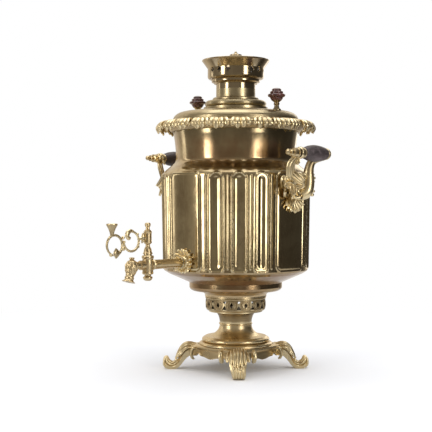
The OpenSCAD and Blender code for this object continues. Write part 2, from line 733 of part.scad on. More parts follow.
crown_outline = concat(
    [[collar_r, crown_z], [collar_r, bowl_z], [crown_r - 10, bowl_z], [crown_r - 9, bowl_z + 1.5]],
    upright_to_level([crown_r - 6, bowl_z + 3], [crown_r - 5, bowl_z + 6.5], 3),
    level_to_upright([crown_r - 4, bowl_z + 7], [crown_r, bowl_z + 10.5], 4),
    level_to_upright([crown_r, crown_top - flare_h], [crown_rim_r - 0.8, crown_top - 2.4], 1),
    arc([crown_rim_r - 1.2, crown_top - 1.2], 1.2, -60, 120, 6)
);

// Club-shaped piercing through the crown's wall
module piercing(angle) rotate([0, 0, angle]) translate([0, 0, bowl_z + 19]) {
    for (p = [[-lobe_r * 0.9, 0], [lobe_r * 0.9, 0], [0, lobe_r * 1.5]])
        translate([crown_r - 6, p[0], p[1]]) rotate([0, 90, 0]) cylinder(r = lobe_r, h = 12);
    translate([crown_r - 6, -lobe_r * 0.4, -lobe_r * 2.2]) cube([12, lobe_r * 0.8, lobe_r * 3.4]);
}

piercing_turn = 7;

module crown() color(dark_brass) difference() {
    turned(concat(crown_outline,
        [[crown_rim_r - 2.6, crown_top - 1], [crown_r - crown_t, crown_top - flare_h + 1], [crown_r - crown_t, ledge_z + ledge_t],
         [flue_r - 1, ledge_z + ledge_t], [flue_r - 1, ledge_z], [flue_r + flue_gap, ledge_z - 1.5],
         [flue_r + flue_gap, crown_z]]));
    for (g = [0:3], i = [0:piercings - 1])
        piercing(piercing_turn + 90 * g + (i - (piercings - 1) / 2) * piercing_pitch);
}

cap_seat = ledge_z + ledge_t;

module cap_disc() color(dark_brass) translate([0, 0, cap_seat]) turned([
    [0, -cap_plug_h], [flue_r - 3, -cap_plug_h], [flue_r - 3, 0], [cap_r, 0], [cap_r, cap_h * 0.28],
    [cap_r * 0.83, cap_h * 0.46], [cap_r * 0.4, cap_h * 0.9], [cap_r * 0.08, cap_h], [0, cap_h]]);

module cap_knob() color(dark_brass) translate([0, 0, cap_seat + cap_h]) turned(concat(
    [[0, 0], [6, 0], [5.4, 1.6], [3, 3.4], [2.6, cap_knob_h * 0.4], [3.6, cap_knob_h * 0.48],
     [2.8, cap_knob_h * 0.56], [2.8, cap_knob_h * 0.7], [cap_button_r - 1.5, cap_knob_h * 0.78]],
    arc([cap_button_r - 1.2, cap_knob_h * 0.82], 1.2, -60, 80, 4),
    [[3.6, cap_knob_h * 0.89], [2, cap_knob_h * 0.93]],
    arc([0.2, cap_knob_h - 1.9], 1.9, -40, 90, 5),
    [[0, cap_knob_h]]));

// ---- handles ----

grip_mid = grip_shift;
grip_gap = 0.3;
front_collar = grip_mid - grip_l / 2 - ferrule_l;
back_collar = grip_mid + grip_l / 2;
rod_nut_l = 2;

// A shape turned about the grip's axis: its Z runs along +Y
module along_grip(y) translate([grip_at, y, grip_z]) rotate([-90, 0, 0]) children();

// Outline of the wood, with a gap round it where something passes
function grip_line(gap) =
    [for (i = [0:14]) [mix(ferrule_r - 0.4, grip_r, pow(sin(180 * i / 14), 0.9)) + gap, grip_l * i / 14]];

module grip() color(wood) along_grip(grip_mid - grip_l / 2) difference() {
    turned(concat([[0, 0]], grip_line(0), [[0, grip_l]]));
    translate([0, 0, -cut]) cylinder(r = rod_r, h = grip_l + 2 * cut);
}

module rod() color(brass) along_grip(front_collar - finial_l) {
    f = ferrule_r;
    far_end = finial_l + ferrule_l + grip_l + back_ferrule_l;
    turned(concat(
        [[0, 0]],
        arc([f * 0.08, f * 0.43], f * 0.43, -78, 60, 6),
        [[f * 0.26, finial_l * 0.32], [f * 0.66, finial_l * 0.36], [f * 0.66, finial_l * 0.47],
         [f * 0.34, finial_l * 0.52], [f * 0.34, finial_l * 0.58], [f * 0.86, finial_l * 0.65],
         [f * 0.91, finial_l * 0.93], [f * 0.77, finial_l], [rod_r, finial_l], [rod_r, far_end],
         [f * 0.6, far_end], [f * 0.6, far_end + rod_nut_l * 0.4], [f * 0.3, far_end + rod_nut_l],
         [0, far_end + rod_nut_l]]));
}

// Collar with a ring at each end, the larger one away from the wood
module collar(l) difference() {
    turned(concat([[0, 0], [ferrule_r - 1, 0]], arc([ferrule_r - 1, 1], 1, -90, 0, 3),
        [[ferrule_r - 1, 2.6], [ferrule_r - 1.4, l - 3]],
        arc([ferrule_r - 1.3, l - 1.3], 1.3, -90, 60, 5), [[ferrule_r - 1, l], [0, l]]));
    translate([0, 0, -cut]) cylinder(r = rod_r, h = l + 2 * cut);
}

module collars() color(pale_brass) {
    along_grip(front_collar) collar(ferrule_l);
    along_grip(back_collar + back_ferrule_l) mirror([0, 0, 1]) collar(back_ferrule_l);
}

// Middle line of an arm from the leaf on the wall to its collar: [from the axis, sideways, height].
// The front arm rises straight; the back arm swells low down and stands further in.
function arm_path(side) = let (x = wall_r(palm_z)) side < 0
    ? [[x + 1, -4, palm_z], [x + 9, -11, palm_z], [x + 16, -19, palm_z + 9], [x + 21, -27, palm_z + 24],
       [x + 24, -30, grip_z - 17], [grip_at - 5, -27, grip_z - 8], [grip_at - 2, front_collar + ferrule_l / 2, grip_z - 4]]
    : [[x + 1, 4, palm_z - 4], [x + 7, 12, palm_z - 3], [x + 11, 19, palm_z + 4], [x + 13, 22, palm_z + 15],
       [x + 13, 22, grip_z - 21], [x + 17, 26, grip_z - 9], [grip_at - 2, back_collar + back_ferrule_l / 2, grip_z - 4]];
function arm_size(side) = side < 0 ? [0.6, 0.78, 0.85, 0.8, 0.74, 0.62, 0.5] : [0.7, 0.84, 1, 1, 0.72, 0.6, 0.5];
arm_steps = 20;
arm_ring = 12;

// Ring of points square to the arm's path, with shallow flutes
function arm_section(side, t) =
    let (path = arm_path(side), n = len(path) - 1,
         p = through(path, t), d = unit(through(path, min(t + 0.05, n)) - through(path, max(t - 0.05, 0))),
         u = unit(cross(d, [-0.63 * side, 0.77, 0])), v = cross(u, d), r = arm_r * through(arm_size(side), t))
    [for (j = [0:arm_ring - 1]) let (a = 360 * j / arm_ring, q = r * (j % 2 == 0 ? 1 : 0.88))
        p + q * (u * cos(a) + v * sin(a))];

// Leaf on the wall: a ribbed, pointed shell
palm_steps = 14;
palm_ribs = 5;
palm_ring = 16;
function palm_section(t) =
    let (z = mix(palm_z - palm_h / 2, palm_z + palm_h / 2, t),
         w = palm_w / 2 * (0.08 + 0.92 * pow(sin(180 * pow(t, 0.85)), 0.75)),
         h = 3 + 4.6 * pow(sin(180 * t), 0.8), r = wall_r(z))
    concat(
        [for (j = [0:palm_ring - 1]) let (s = mix(1, -1, j / (palm_ring - 1)))
            [r + 0.4 + h * sqrt(1 - 0.85 * s * s) - 1.1 * abs(sin(90 * palm_ribs * (s + 1))), w * s, z]],
        [[r - 3, -w, z], [r - 3, w, z]]
    );

module bracket() color(pale_brass) difference() {
    sculpted() {
        skin([for (i = [0:palm_steps]) palm_section(i / palm_steps)]);
        for (side = [-1, 1])
            skin([for (i = [0:arm_steps]) arm_section(side, i * (len(arm_path(1)) - 1) / arm_steps)]);
    }
    wall_cone();
    along_grip(front_collar) cylinder(r = ferrule_r, h = ferrule_l);
    along_grip(back_collar) cylinder(r = ferrule_r, h = back_ferrule_l);
    along_grip(grip_mid - grip_l / 2) turned(concat([[0, 0]], grip_line(grip_gap), [[0, grip_l]]));
}

module studs() color(iron) for (z = stud_places) translate([wall_r(z) - sheet_t - 4, 0, z]) rotate([0, 90, 0]) {
    cylinder(r = stud_r, h = sheet_t + 4);
    translate([0, 0, 4 - 3.2]) hexagon(7, 3);
}

// Puts a right-hand piece on the side it belongs to
module on_side(side) mirror([side < 0 ? 1 : 0, 0, 0]) children();

// ---- tap ----

// A shape turned about the tap's bore: its Z runs along -Y, from the boiler's axis
module along_tap(y) translate([0, -y, tap_z]) rotate([90, 0, 0]) children();
wall_at_tap = wall_r(tap_z);
seat_gap = 0.08;
rosette_t = 6;
pipe_start = wall_at_tap + rosette_t;

module tap_rosette() color(pale_brass) difference() {
    along_tap(wall_at_tap - 3) {
        cylinder(r1 = rosette_r - 3, r2 = pipe_r + 2, h = rosette_t + 3);
        for (i = [0:petals - 1]) rotate([0, 0, i * 360 / petals]) translate([0, 0, 5]) rotate([0, 84, 0])
            turned(concat([[0, pipe_r]], [for (k = [1:6]) [3.1 * sin(24 * k), mix(pipe_r, rosette_r, k / 6)]], [[0, rosette_r + 0.6]]));
    }
    wall_solid();
    along_tap(wall_at_tap - 10) cylinder(r = shank_r, h = 40);
    along_tap(pipe_start) cylinder(r = 2 * rosette_r, h = 20);
}

// Profile of the plug, widened by a gap for its seat: [radius, height from the water way]
plug_half = barrel_half + 2;
module plug_cone(gap) translate([0, -key_at, tap_z - plug_half])
    cylinder(r1 = plug_low_r + gap, r2 = plug_top_r + gap, h = 2 * plug_half);

module tap_body() color(brass) difference() {
    union() {
        along_tap(wall_at_tap - sheet_t - shank_in) cylinder(r = shank_r, h = shank_in + sheet_t + rosette_t + 1);
        along_tap(pipe_start) turned([[0, 0], [pipe_r + 1.4, 0], [pipe_r + 1.4, 2], [pipe_r, 3.4],
            [pipe_r - 0.4, (key_at - pipe_start) * 0.55], [pipe_r, key_at - pipe_start - 11],
            [pipe_r + 0.9, key_at - pipe_start - 9], [pipe_r, key_at - pipe_start - 7],
            [pipe_r, key_at - pipe_start - 3], [0, key_at - pipe_start - 3]]);
        translate([0, -key_at, tap_z]) turned([[0, -barrel_half], [barrel_r - 1.2, -barrel_half],
            [barrel_r, -barrel_half + 1.5], [barrel_r - 0.6, -barrel_half + 4], [barrel_r, 2],
            [barrel_r - 0.6, barrel_half - 5], [barrel_r + 0.4, barrel_half - 3], [barrel_r + 0.4, barrel_half - 1],
            [barrel_r - 0.6, barrel_half], [0, barrel_half]]);
        along_tap(key_at) turned([[0, 3], [5.4, 3], [5.4, barrel_r + 3], [6.6, barrel_r + 4], [6.6, barrel_r + 6],
            [5, barrel_r + 7], [5, spout_at - 3], [0, spout_at - 3]]);
        translate([0, -key_at - spout_at, tap_z]) {
            sphere(r = bulb_r);
            turned([[0, 2], [4.6, 2], [4.6, bulb_r], [2.4, bulb_r + 1.2], [3.8, bulb_r + 2.4], [3.4, bulb_r + 4], [0, bulb_r + 4.6]]);
            rotate([-spout_lean, 0, 0]) spout_nozzle();
        }
    }
    along_tap(wall_at_tap - sheet_t - shank_in - cut)
        cylinder(r = way_r, h = key_at + spout_at - wall_at_tap + shank_in + sheet_t + cut + way_r * 0.4);
    translate([0, -key_at - spout_at, tap_z]) rotate([-spout_lean, 0, 0])
        translate([0, 0, way_r * 0.6]) mirror([0, 0, 1]) cylinder(r = way_r * 0.94, h = spout_drop + 10);
    plug_cone(plug_gap);
}

module spout_nozzle() mirror([0, 0, 1]) turned([[0, 1.5], [5.6, 1.5], [5.6, spout_drop * 0.35], [4.8, spout_drop * 0.45],
    [6, spout_drop * 0.52], [6, spout_drop * 0.6], [4.9, spout_drop * 0.68], [5.2, spout_drop * 0.8],
    [lip_r - 1.6, spout_drop * 0.93], [lip_r, spout_drop * 0.97], [lip_r, spout_drop], [0, spout_drop]]);

module tap_washer() color(leather) difference() {
    $fn = 240;
    intersection() {
        along_tap(wall_at_tap - sheet_t - 4) cylinder(r = shank_r + 5, h = 6);
        translate([0, 0, wall_z]) cylinder(r1 = wall_low_r - sheet_t - seat_gap, r2 = wall_top_r - sheet_t - seat_gap, h = wall_h);
    }
    along_tap(wall_at_tap - 20) cylinder(r = shank_r, h = 40);
}

module tap_nut() color(brass) difference() {
    along_tap(wall_at_tap - sheet_t - 9) hexagon(18, 5);
    along_tap(wall_at_tap - 30) cylinder(r = shank_r, h = 40);
}

// ---- key: the plug and what turns with it ----

key_z = tap_z + barrel_half;
stem_low = plug_half - barrel_half;

module key_plug() color(brass) difference() {
    union() {
        plug_cone(0);
        translate([0, -key_at, tap_z - plug_half - 5]) cylinder(r = 2.4, h = 6);
    }
    along_tap(key_at - 20) cylinder(r = way_r, h = 40);
}

module key_nut() color(brass) translate([0, -key_at, tap_z - plug_half - 0.3]) mirror([0, 0, 1]) difference() {
    turned(concat([[0, 0], [4.2, 0], [6.2, 1]], arc([2, 2], 4.6, -10, 90, 6), [[0, 6.6]]));
    translate([0, 0, -cut]) cylinder(r = 2.4, h = 4.7 + cut);
}

// Turned stem above the barrel: bell, baluster and button
module key_stem() color(brass) translate([0, -key_at, key_z + stem_low]) {
    s = stem_r;
    h = key_h - stem_low;
    turned(concat([[0, 0], [s + 0.9, 0], [s + 0.9, 1.4], [s, 2.2], [s * 0.86, h * 0.16], [s * 0.55, h * 0.24],
        [s * 0.5, h * 0.3], [s * 0.8, h * 0.33], [s, h * 0.37], [s * 0.92, h * 0.42], [s * 0.92, h * 0.66],
        [s, h * 0.7], [s * 0.8, h * 0.75], [s * 0.5, h * 0.78], [s * 0.46, h * 0.86], [s * 0.66, h * 0.88]],
        arc([s * 0.3, h - s * 0.42], s * 0.42, -30, 80, 5), [[0, h]]));
}

scroll_in = stem_r + scroll_link + scroll_r + scroll_bar_r;
scroll_out = scroll_in + 2 * scroll_r + scroll_gap;

// Two open rings in line over the spout, joined where they touch, with leaf buds and a trumpet
module key_scroll() color(pale_brass) translate([0, -key_at, key_z + scroll_z]) rotate([0, 0, -90]) difference() {
    union() {
        translate([scroll_in, 0, 0]) arc_bar(scroll_r, scroll_bar_r, -212, 300);
        translate([scroll_out, 0, -scroll_fall]) arc_bar(scroll_r, scroll_bar_r, -45, 300);
        translate([0, 0, 4]) rotate([0, 90, 0]) cylinder(r1 = 2.8, r2 = 1.8, h = scroll_in - scroll_r + 1);
        translate([scroll_in + scroll_r + scroll_gap / 2, 0, -scroll_fall / 2]) sphere(r = 2.6, $fn = hull_fn);
        translate([scroll_in, 0, 0]) bud(148, scroll_r - 1.5, 2.7);
        translate([scroll_in, 0, 0]) bud(60, scroll_r + 1.4, 1.9);
        translate([scroll_out, 0, -scroll_fall]) bud(-45, scroll_r - 1.5, 2.9);
        translate([scroll_out, 0, -scroll_fall]) bud(-54, scroll_r + 1.4, 2.3);
        translate([scroll_out, 0, -scroll_fall]) bud(-118, scroll_r + 1.2, 1.8);
        translate([scroll_out + scroll_r * 0.34, 0, scroll_r * 0.9 - scroll_fall]) trumpet();
    }
    cylinder(r = stem_r * 0.92, h = 40, center = true);
}

// Small round bud at an angle on a ring
module bud(angle, at, r) rotate([0, -angle, 0]) translate([at, 0, 0]) sphere(r = r, $fn = hull_fn);

module trumpet() turned([[0, 0], [2.3, 0], [2, trumpet_h * 0.2], [2.4, trumpet_h * 0.4], [3.6, trumpet_h * 0.65],
    [trumpet_r - 1.4, trumpet_h * 0.86], [trumpet_r, trumpet_h * 0.92], [trumpet_r, trumpet_h],
    [trumpet_r - 1.2, trumpet_h], [2, trumpet_h * 0.8], [0, trumpet_h * 0.75]]);

// ---- the pieces ----

body_shell();
body_neck();
boiler_bottom();
leaf_border();
flue_tube();
fire_grate();
air_gallery();
pedestal_cove();
pedestal();
base_plate();
foot(-45);  // foot_front_right
foot(45);  // foot_back_right
foot(135);  // foot_back_left
foot(225);  // foot_front_left
lid();
lid_ring();
lid_collar();
knob_stem(1);  // knob_stem_right
knob_stem(-1);  // knob_stem_left
knob(1);  // knob_right
knob(-1);  // knob_left
vent_cap();
crown();
cap_disc();
cap_knob();
on_side(1) bracket();  // bracket_right
on_side(-1) bracket();  // bracket_left
on_side(1) grip();  // grip_right
on_side(-1) grip();  // grip_left
on_side(1) rod();  // rod_right
on_side(-1) rod();  // rod_left
on_side(1) collars();  // collars_right
on_side(-1) collars();  // collars_left
on_side(1) studs();  // studs_right
on_side(-1) studs();  // studs_left
tap_rosette();
tap_body();
tap_washer();
tap_nut();
key_plug();
key_stem();
key_scroll();
key_nut();
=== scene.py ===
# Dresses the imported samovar: finer meshes for the sheet brass and the castings, worn-metal
# and wood materials, a white studio and the photograph's camera. Shapes are worked out in
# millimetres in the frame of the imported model, whose levels and radii come from its nodes.
import math
import random

import bmesh
import bpy
import numpy as np
from mathutils import Matrix, Vector


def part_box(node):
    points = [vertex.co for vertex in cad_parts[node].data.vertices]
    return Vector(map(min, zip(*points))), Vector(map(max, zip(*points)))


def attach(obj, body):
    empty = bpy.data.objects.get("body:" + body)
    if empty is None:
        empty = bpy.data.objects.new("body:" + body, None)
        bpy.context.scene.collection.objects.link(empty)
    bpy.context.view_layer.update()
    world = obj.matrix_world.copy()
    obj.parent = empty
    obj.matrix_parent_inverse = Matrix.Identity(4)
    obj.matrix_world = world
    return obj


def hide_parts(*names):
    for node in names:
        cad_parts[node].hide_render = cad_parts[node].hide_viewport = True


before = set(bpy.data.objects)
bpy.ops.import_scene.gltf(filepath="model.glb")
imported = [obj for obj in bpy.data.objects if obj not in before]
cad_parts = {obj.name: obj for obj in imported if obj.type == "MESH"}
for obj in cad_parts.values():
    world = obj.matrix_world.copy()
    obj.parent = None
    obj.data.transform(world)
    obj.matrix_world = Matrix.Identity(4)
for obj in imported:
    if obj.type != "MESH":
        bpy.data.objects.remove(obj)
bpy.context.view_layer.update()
MM = 0.001
rng = random.Random(7)


# ---- sizes taken from the frame ----

def span(node):
    """Lowest and highest corner of a CAD node, in millimetres."""
    low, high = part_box(node)
    return Vector(low) / MM, Vector(high) / MM


plate_low, plate_high = span("base_plate")
grip_low, grip_high = span("grip_right")
collars_low, collars_high = span("collars_right")
gallery_low, gallery_high = span("air_gallery")
border_reach = span("leaf_border")[1].x

wall_z = span("body_shell")[0].z
rim_z = span("body_neck")[1].z
wall_h = 140
shoulder_h = 26
shoulder_z = wall_z + wall_h
neck_z = shoulder_z + shoulder_h
turned_in = 1.6  # how far the wall's foot turns in, to meet the skirt
wall_low_r = span("boiler_bottom")[1].x + turned_in
wall_top_r = 110
neck_r = 89.5
rim_r = 93
border_h = 18
sheet_t = 2
tap_z = 163.5
SIDES = ((1, "right"), (-1, "left"))


# ---- outlines ----

def mix(a, b, t):
    return a + (b - a) * t


def wall_radius(z):
    """Radius of the boiler's plain wall at the height z."""
    return mix(wall_low_r, wall_top_r, (z - wall_z) / wall_h)


def polar(r, a, z):
    """Point at radius r, angle a (radians) and height z."""
    return Vector((r * math.cos(a), r * math.sin(a), z))


def ogee(p, q, n):
    """S-shaped curve from p to q, upright at both ends."""
    ease = [(1 - math.cos(math.pi * i / n)) / 2 for i in range(n + 1)]
    return [(mix(p[0], q[0], e), mix(p[1], q[1], i / n)) for i, e in enumerate(ease)]


def softened(profile, r, closed):
    """The outline with each corner rounded to about r, or less beside a short side."""
    slight_turn, side_share = 0.2, 0.45
    out = []
    n = len(profile)
    for i, p in enumerate(profile):
        if not closed and i in (0, n - 1):
            out.append(tuple(p))
            continue
        a, b, c = (Vector(profile[i - 1]), Vector(p), Vector(profile[(i + 1) % n]))
        into, away = b - a, c - b
        if into.length < 1e-6 or away.length < 1e-6 or into.angle(away) < slight_turn:
            out.append(tuple(p))
            continue
        cut = min(r, into.length * side_share, away.length * side_share)
        start, end = b - into.normalized() * cut, b + away.normalized() * cut
        out += [tuple(start * (1 - t) ** 2 + b * 2 * t * (1 - t) + end * t * t) for t in (0, 0.33, 0.67, 1)]
    return out


def smooth_path(points, n):
    """Smooth curve through points (tuples or vectors), as n + 1 vectors."""
    p = [Vector(q) for q in points]
    last = len(p) - 1
    out = []
    for k in range(n + 1):
        t = last * k / n
        i = min(int(t), last - 1)
        u = t - i
        a, b, c, d = p[max(i - 1, 0)], p[i], p[i + 1], p[min(i + 2, last)]
        out.append(0.5 * (2 * b + (c - a) * u + (2 * a - 5 * b + 4 * c - d) * u * u
                          + (3 * b - a - 3 * c + d) * u ** 3))
    return out


def along(values, n):
    """A list of numbers spread smoothly over n + 1 places."""
    return [v.x for v in smooth_path([(x, 0, 0) for x in values], n)]


# ---- meshes ----

def linked(name, data):
    """A new object in the scene."""
    obj = bpy.data.objects.new(name, data)
    bpy.context.scene.collection.objects.link(obj)
    return obj


class Part:
    """Collects closed surfaces, in millimetres, for one object. Each point carries a value that is 0 in hollows
    and 1 on high spots; castings turn it into tarnish and painted shade in the hollows.
    """

    def __init__(self):
        self.verts, self.faces, self.wear_and_shade = [], [], []

    def add(self, verts, faces, wear_and_shade=None, place=None):
        base = len(self.verts)
        self.verts += [place @ v for v in verts] if place is not None else list(verts)
        self.faces += [tuple(base + i for i in f) for f in faces]
        self.wear_and_shade += wear_and_shade if wear_and_shade is not None else [0.5] * len(verts)

    def make(self, name, body, slot, *nodes, crease=40):
        mesh = bpy.data.meshes.new(name)
        mesh.from_pydata([v * MM for v in self.verts], [], self.faces)
        layer = mesh.attributes.new("wear_and_shade", "FLOAT", "POINT")
        layer.data.foreach_set("value", self.wear_and_shade)
        bm = bmesh.new()
        bm.from_mesh(mesh)
        bmesh.ops.remove_doubles(bm, verts=bm.verts, dist=1e-7)
        bmesh.ops.dissolve_degenerate(bm, dist=1e-7, edges=bm.edges)
        bmesh.ops.recalc_face_normals(bm, faces=bm.faces)
        bm.to_mesh(mesh)
        bm.free()
        mesh.shade_smooth()
        mesh.set_sharp_from_angle(angle=math.radians(crease))
        mesh.materials.append(MATERIALS[slot])
        obj = linked(name, mesh)
        if nodes:
            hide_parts(*nodes)
        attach(obj, body)
        return obj


def grid_faces(rows, cols, wrap_rows=False, wrap_cols=True):
    """Four-sided faces of a grid of points, listed row by row."""
    return [(i * cols + j, i * cols + (j + 1) % cols, ((i + 1) % rows) * cols + (j + 1) % cols,
             ((i + 1) % rows) * cols + j)
            for i in range(rows if wrap_rows else rows - 1) for j in range(cols if wrap_cols else cols - 1)]


def ring_cap(first, count, centre):
    """Triangles that close a ring of points to its centre."""
    return [(first + j, first + (j + 1) % count, centre) for j in range(count)]


def turned(profile, steps):
    """Points of an outline of (radius, height) turned round the local Z axis."""
    return [polar(r, 2 * math.pi * j / steps, z) for r, z in profile for j in range(steps)]


def lathe(part, profile, steps, soft=0.5, place=None, closed=True):
    """Adds the solid swept by an outline of (radius, height) round the local Z axis."""
    ring = softened(profile, soft, closed)
    part.add(turned(ring, steps), grid_faces(len(ring), steps, wrap_rows=closed), place=place)


def sweep(part, points, across, through, side, ring, grooves=0, groove=0.0, place=None):
    """Adds a closed bar through points: half widths across and through it; side points across."""
    verts, wear_and_shade = [], []
    n = len(points)
    for i, p in enumerate(points):
        d = (points[min(i + 1, n - 1)] - points[max(i - 1, 0)]).normalized()
        u = (side - d * side.dot(d)).normalized()
        v = d.cross(u)
        for j in range(ring):
            a = 2 * math.pi * j / ring
            dip = groove * abs(math.sin(grooves * a / 2))
            verts.append(p + (u * math.cos(a) * across[i] + v * math.sin(a) * through[i]) * (1 - dip))
            wear_and_shade.append(1 - dip / groove if groove else 0.5)
    faces = grid_faces(n, ring)
    for end in (0, n - 1):
        faces += ring_cap(end * ring, ring, len(verts))
        verts.append(points[end])
        wear_and_shade.append(0.5)
    part.add(verts, faces, wear_and_shade, place)


def leaf(part, length, width, place, curl, ribs=3, cup=0.12, depth=1.2, thick=1.6, lobes=0, base=0.35):
    """Adds a ribbed leaf: it runs along local X, is wide along Y and faces Z. curl bends its tip
    towards +Z, cup arches it across, and base is the width at its root as a share of the widest."""
    rows, cols = 18, ribs * 6 + 1
    widest, narrowest, lobe_depth = 0.45, 0.04, 0.09
    top, under, wear_and_shade = [], [], []
    for i in range(rows):
        t = i / (rows - 1)
        if t < widest:
            full = mix(base, 1, math.sin(t / widest * math.pi / 2))
        else:
            full = math.cos((t - widest) / (1 - widest) * math.pi / 2) ** 0.6
        w = width / 2 * max(full, narrowest) * (1 + lobe_depth * lobes * abs(math.sin(math.pi * lobes * t)))
        bend = curl * t
        x = length * (math.sin(bend) / curl)
        z = length * ((1 - math.cos(bend)) / curl)
        up = Vector((-math.sin(bend), 0, math.cos(bend)))
        for j in range(cols):
            s = mix(-1, 1, j / (cols - 1))
            rib = abs(math.cos(math.pi * ribs * s / 2))
            arch = cup * width * (1 - s * s)
            p = Vector((x, w * s, z))
            top.append(p + up * (arch + depth * (1 - rib) * full - depth))
            under.append(p + up * (arch - depth - thick))
            wear_and_shade.append(1 - rib)
    n = rows * cols
    faces = grid_faces(rows, cols, wrap_cols=False)
    faces += [tuple(n + k for k in reversed(f)) for f in faces]
    edge = ([i * cols for i in range(rows)] + [(rows - 1) * cols + j for j in range(1, cols)]
            + [i * cols + cols - 1 for i in range(rows - 2, -1, -1)] + list(range(cols - 2, 0, -1)))
    faces += [(a, b, n + b, n + a) for a, b in zip(edge, edge[1:] + edge[:1])]
    # The underside counts as a hollow, so castings paint it dark with tarnish and painted shade
    part.add(top + under, faces, wear_and_shade + [0.1] * n, place)


def ball(part, centre, r, place=None, stretch=(1, 1, 1), steps=14):
    """Adds a ball, drawn out by stretch along each axis."""
    rows = steps // 2 + 1
    verts = []
    for i in range(rows):
        b = math.pi * i / (rows - 1) - math.pi / 2
        for j in range(steps):
            a = 2 * math.pi * j / steps
            unit = (math.cos(b) * math.cos(a), math.cos(b) * math.sin(a), math.sin(b))
            verts.append(Vector(centre) + Vector([r * k * u for k, u in zip(stretch, unit)]))
    part.add(verts, grid_faces(rows, steps), [0.8] * len(verts), place)


def axes(origin, x, z):
    """Placement whose local X runs along x and whose local Z faces about z."""
    x = Vector(x).normalized()
    y = Vector(z).cross(x).normalized()
    z = x.cross(y)
    m = Matrix((x, y, z)).transposed().to_4x4()
    m.translation = Vector(origin)
    return m


# ---- materials ----

class Nodes:
    """A short way to write the nodes of a material or a world."""

    def __init__(self, owner, output="OutputMaterial"):
        owner.use_nodes = True
        self.tree = owner.node_tree
        self.tree.nodes.clear()
        self.out = self.new(output)
        self.coords = None

    def new(self, kind, feeds=(), **settings):
        """A node with these properties; feeds are its inputs, in order or by name."""
        node = self.tree.nodes.new("ShaderNode" + kind)
        for key, value in settings.items():
            setattr(node, key, value)
        for key, value in feeds.items() if isinstance(feeds, dict) else enumerate(feeds):
            self.feed(node.inputs[key], value)
        return node

    def feed(self, socket, value):
        """Links a socket to a node's output, or gives it a plain value."""
        if isinstance(value, bpy.types.NodeSocket):
            self.tree.links.new(value, socket)
        else:
            socket.default_value = value

    def place(self):
        """Position in the object's own frame, which is the part's."""
        if self.coords is None:
            self.coords = self.new("TexCoord").outputs["Object"]
        return self.coords

    def noise(self, scale, detail, rough, stretch=(1, 1, 1), distortion=0.0):
        where = self.new("Mapping", {"Scale": stretch, "Vector": self.place()}).outputs[0]
        feeds = {"Vector": where, "Scale": scale, "Detail": detail, "Roughness": rough,
                 "Distortion": distortion}
        return self.new("TexNoise", feeds).outputs["Fac"]

    def ramp(self, value, *stops):
        """Colours by value; each stop is (place, colour), in order."""
        r = self.new("ValToRGB", (value,))
        items = r.color_ramp.elements
        items[0].position, items[-1].position = stops[0][0], stops[-1][0]
        items[0].color, items[-1].color = (*stops[0][1], 1), (*stops[-1][1], 1)
        for at, colour in stops[1:-1]:
            items.new(at).color = (*colour, 1)
        return r.outputs[0]

    def level(self, value, low, high, to_low=0.0, to_high=1.0, kind="LINEAR"):
        feeds = {"Value": value, "From Min": low, "From Max": high, "To Min": to_low, "To Max": to_high}
        return self.new("MapRange", feeds, interpolation_type=kind).outputs[0]

    def math(self, kind, a, b, clamp=True):
        return self.new("Math", (a, b), operation=kind, use_clamp=clamp).outputs[0]

    def vector(self, kind, *values):
        m = self.new("VectorMath", values, operation=kind)
        return m.outputs["Value" if kind in ("LENGTH", "DOT_PRODUCT") else "Vector"]

    def blend(self, factor, a, b, kind="MIX"):
        """From colour a to colour b; a colour is three numbers or a node's output."""
        m = self.new("Mix", {"Factor": factor}, data_type="RGBA", blend_type=kind)
        for key, v in (("A", a), ("B", b)):
            socket = [s for s in m.inputs if s.name == key and s.type == "RGBA"][0]
            self.feed(socket, (*v, 1) if isinstance(v, tuple) else v)
        return [s for s in m.outputs if s.type == "RGBA"][0]

    def shaders(self, factor, a, b):
        return self.new("MixShader", (factor, a, b)).outputs[0]

    def split(self):
        return self.new("SeparateXYZ", (self.place(),)).outputs

    def inside(self, radius, low, high, fade=1):
        """1 where a point lies nearer the upright axis than radius and between two heights, fading in
        over fade at each end, all in millimetres."""
        soft_edge = 0.4
        x, y, z = self.split()
        square = self.math("ADD", self.math("MULTIPLY", x, x), self.math("MULTIPLY", y, y))
        near = self.level(square, ((radius - soft_edge) * MM) ** 2, (radius * MM) ** 2, 1, 0)
        above = self.level(z, low * MM, (low + fade) * MM)
        below = self.level(z, (high - fade) * MM, high * MM, 1, 0)
        return self.math("MULTIPLY", near, self.math("MULTIPLY", above, below))

    def inward(self):
        """1 on faces that look towards the upright axis."""
        outward = self.vector("NORMALIZE", self.vector("MULTIPLY", self.place(), (1, 1, 0)))
        facing = self.vector("DOT_PRODUCT", outward, self.new("NewGeometry").outputs["Normal"])
        return self.level(facing, -0.5, -0.3, 1, 0)


class Surface(Nodes):
    """A Principled material for one slot."""

    def __init__(self, name):
        mat = bpy.data.materials.new(name)
        super().__init__(mat)
        self.shader = self.new("BsdfPrincipled")
        self.feed(self.out.inputs[0], self.shader.outputs[0])
        MATERIALS[name] = mat

    def dress(self, **inputs):
        """Feeds the shader's inputs, named with _ for each space."""
        for key, value in inputs.items():
            self.feed(self.shader.inputs[key.replace("_", " ")], value)

    def bump(self, *layers):
        """Each layer is (height, distance in metres, strength)."""
        normal = None
        for height, distance, strength in layers:
            feeds = {"Height": height, "Distance": distance, "Strength": strength}
            if normal is not None:
                feeds["Normal"] = normal
            normal = self.new("Bump", feeds).outputs[0]
        self.dress(Normal=normal)


MATERIALS = {}
# Near-black of soot and painted shade, for the inside of the gallery and inward faces near the flue
SOOT_AND_SHADE = (0.02, 0.014, 0.01)
DULL_BRASS = (0.80, 0.63, 0.37)
UNDER_ALL, OVER_ALL = -10, 600  # heights clear of the whole samovar
boiler_r, past_boiler_r, past_feet_r = 112, 124, 200
flue_reach_r = 46
# Inside this radius, over the gallery's height, brass takes soot and painted shade
soot_and_shade_r = gallery_high.x - 1.35  # just inside the gallery's face
foot_top_z = 119
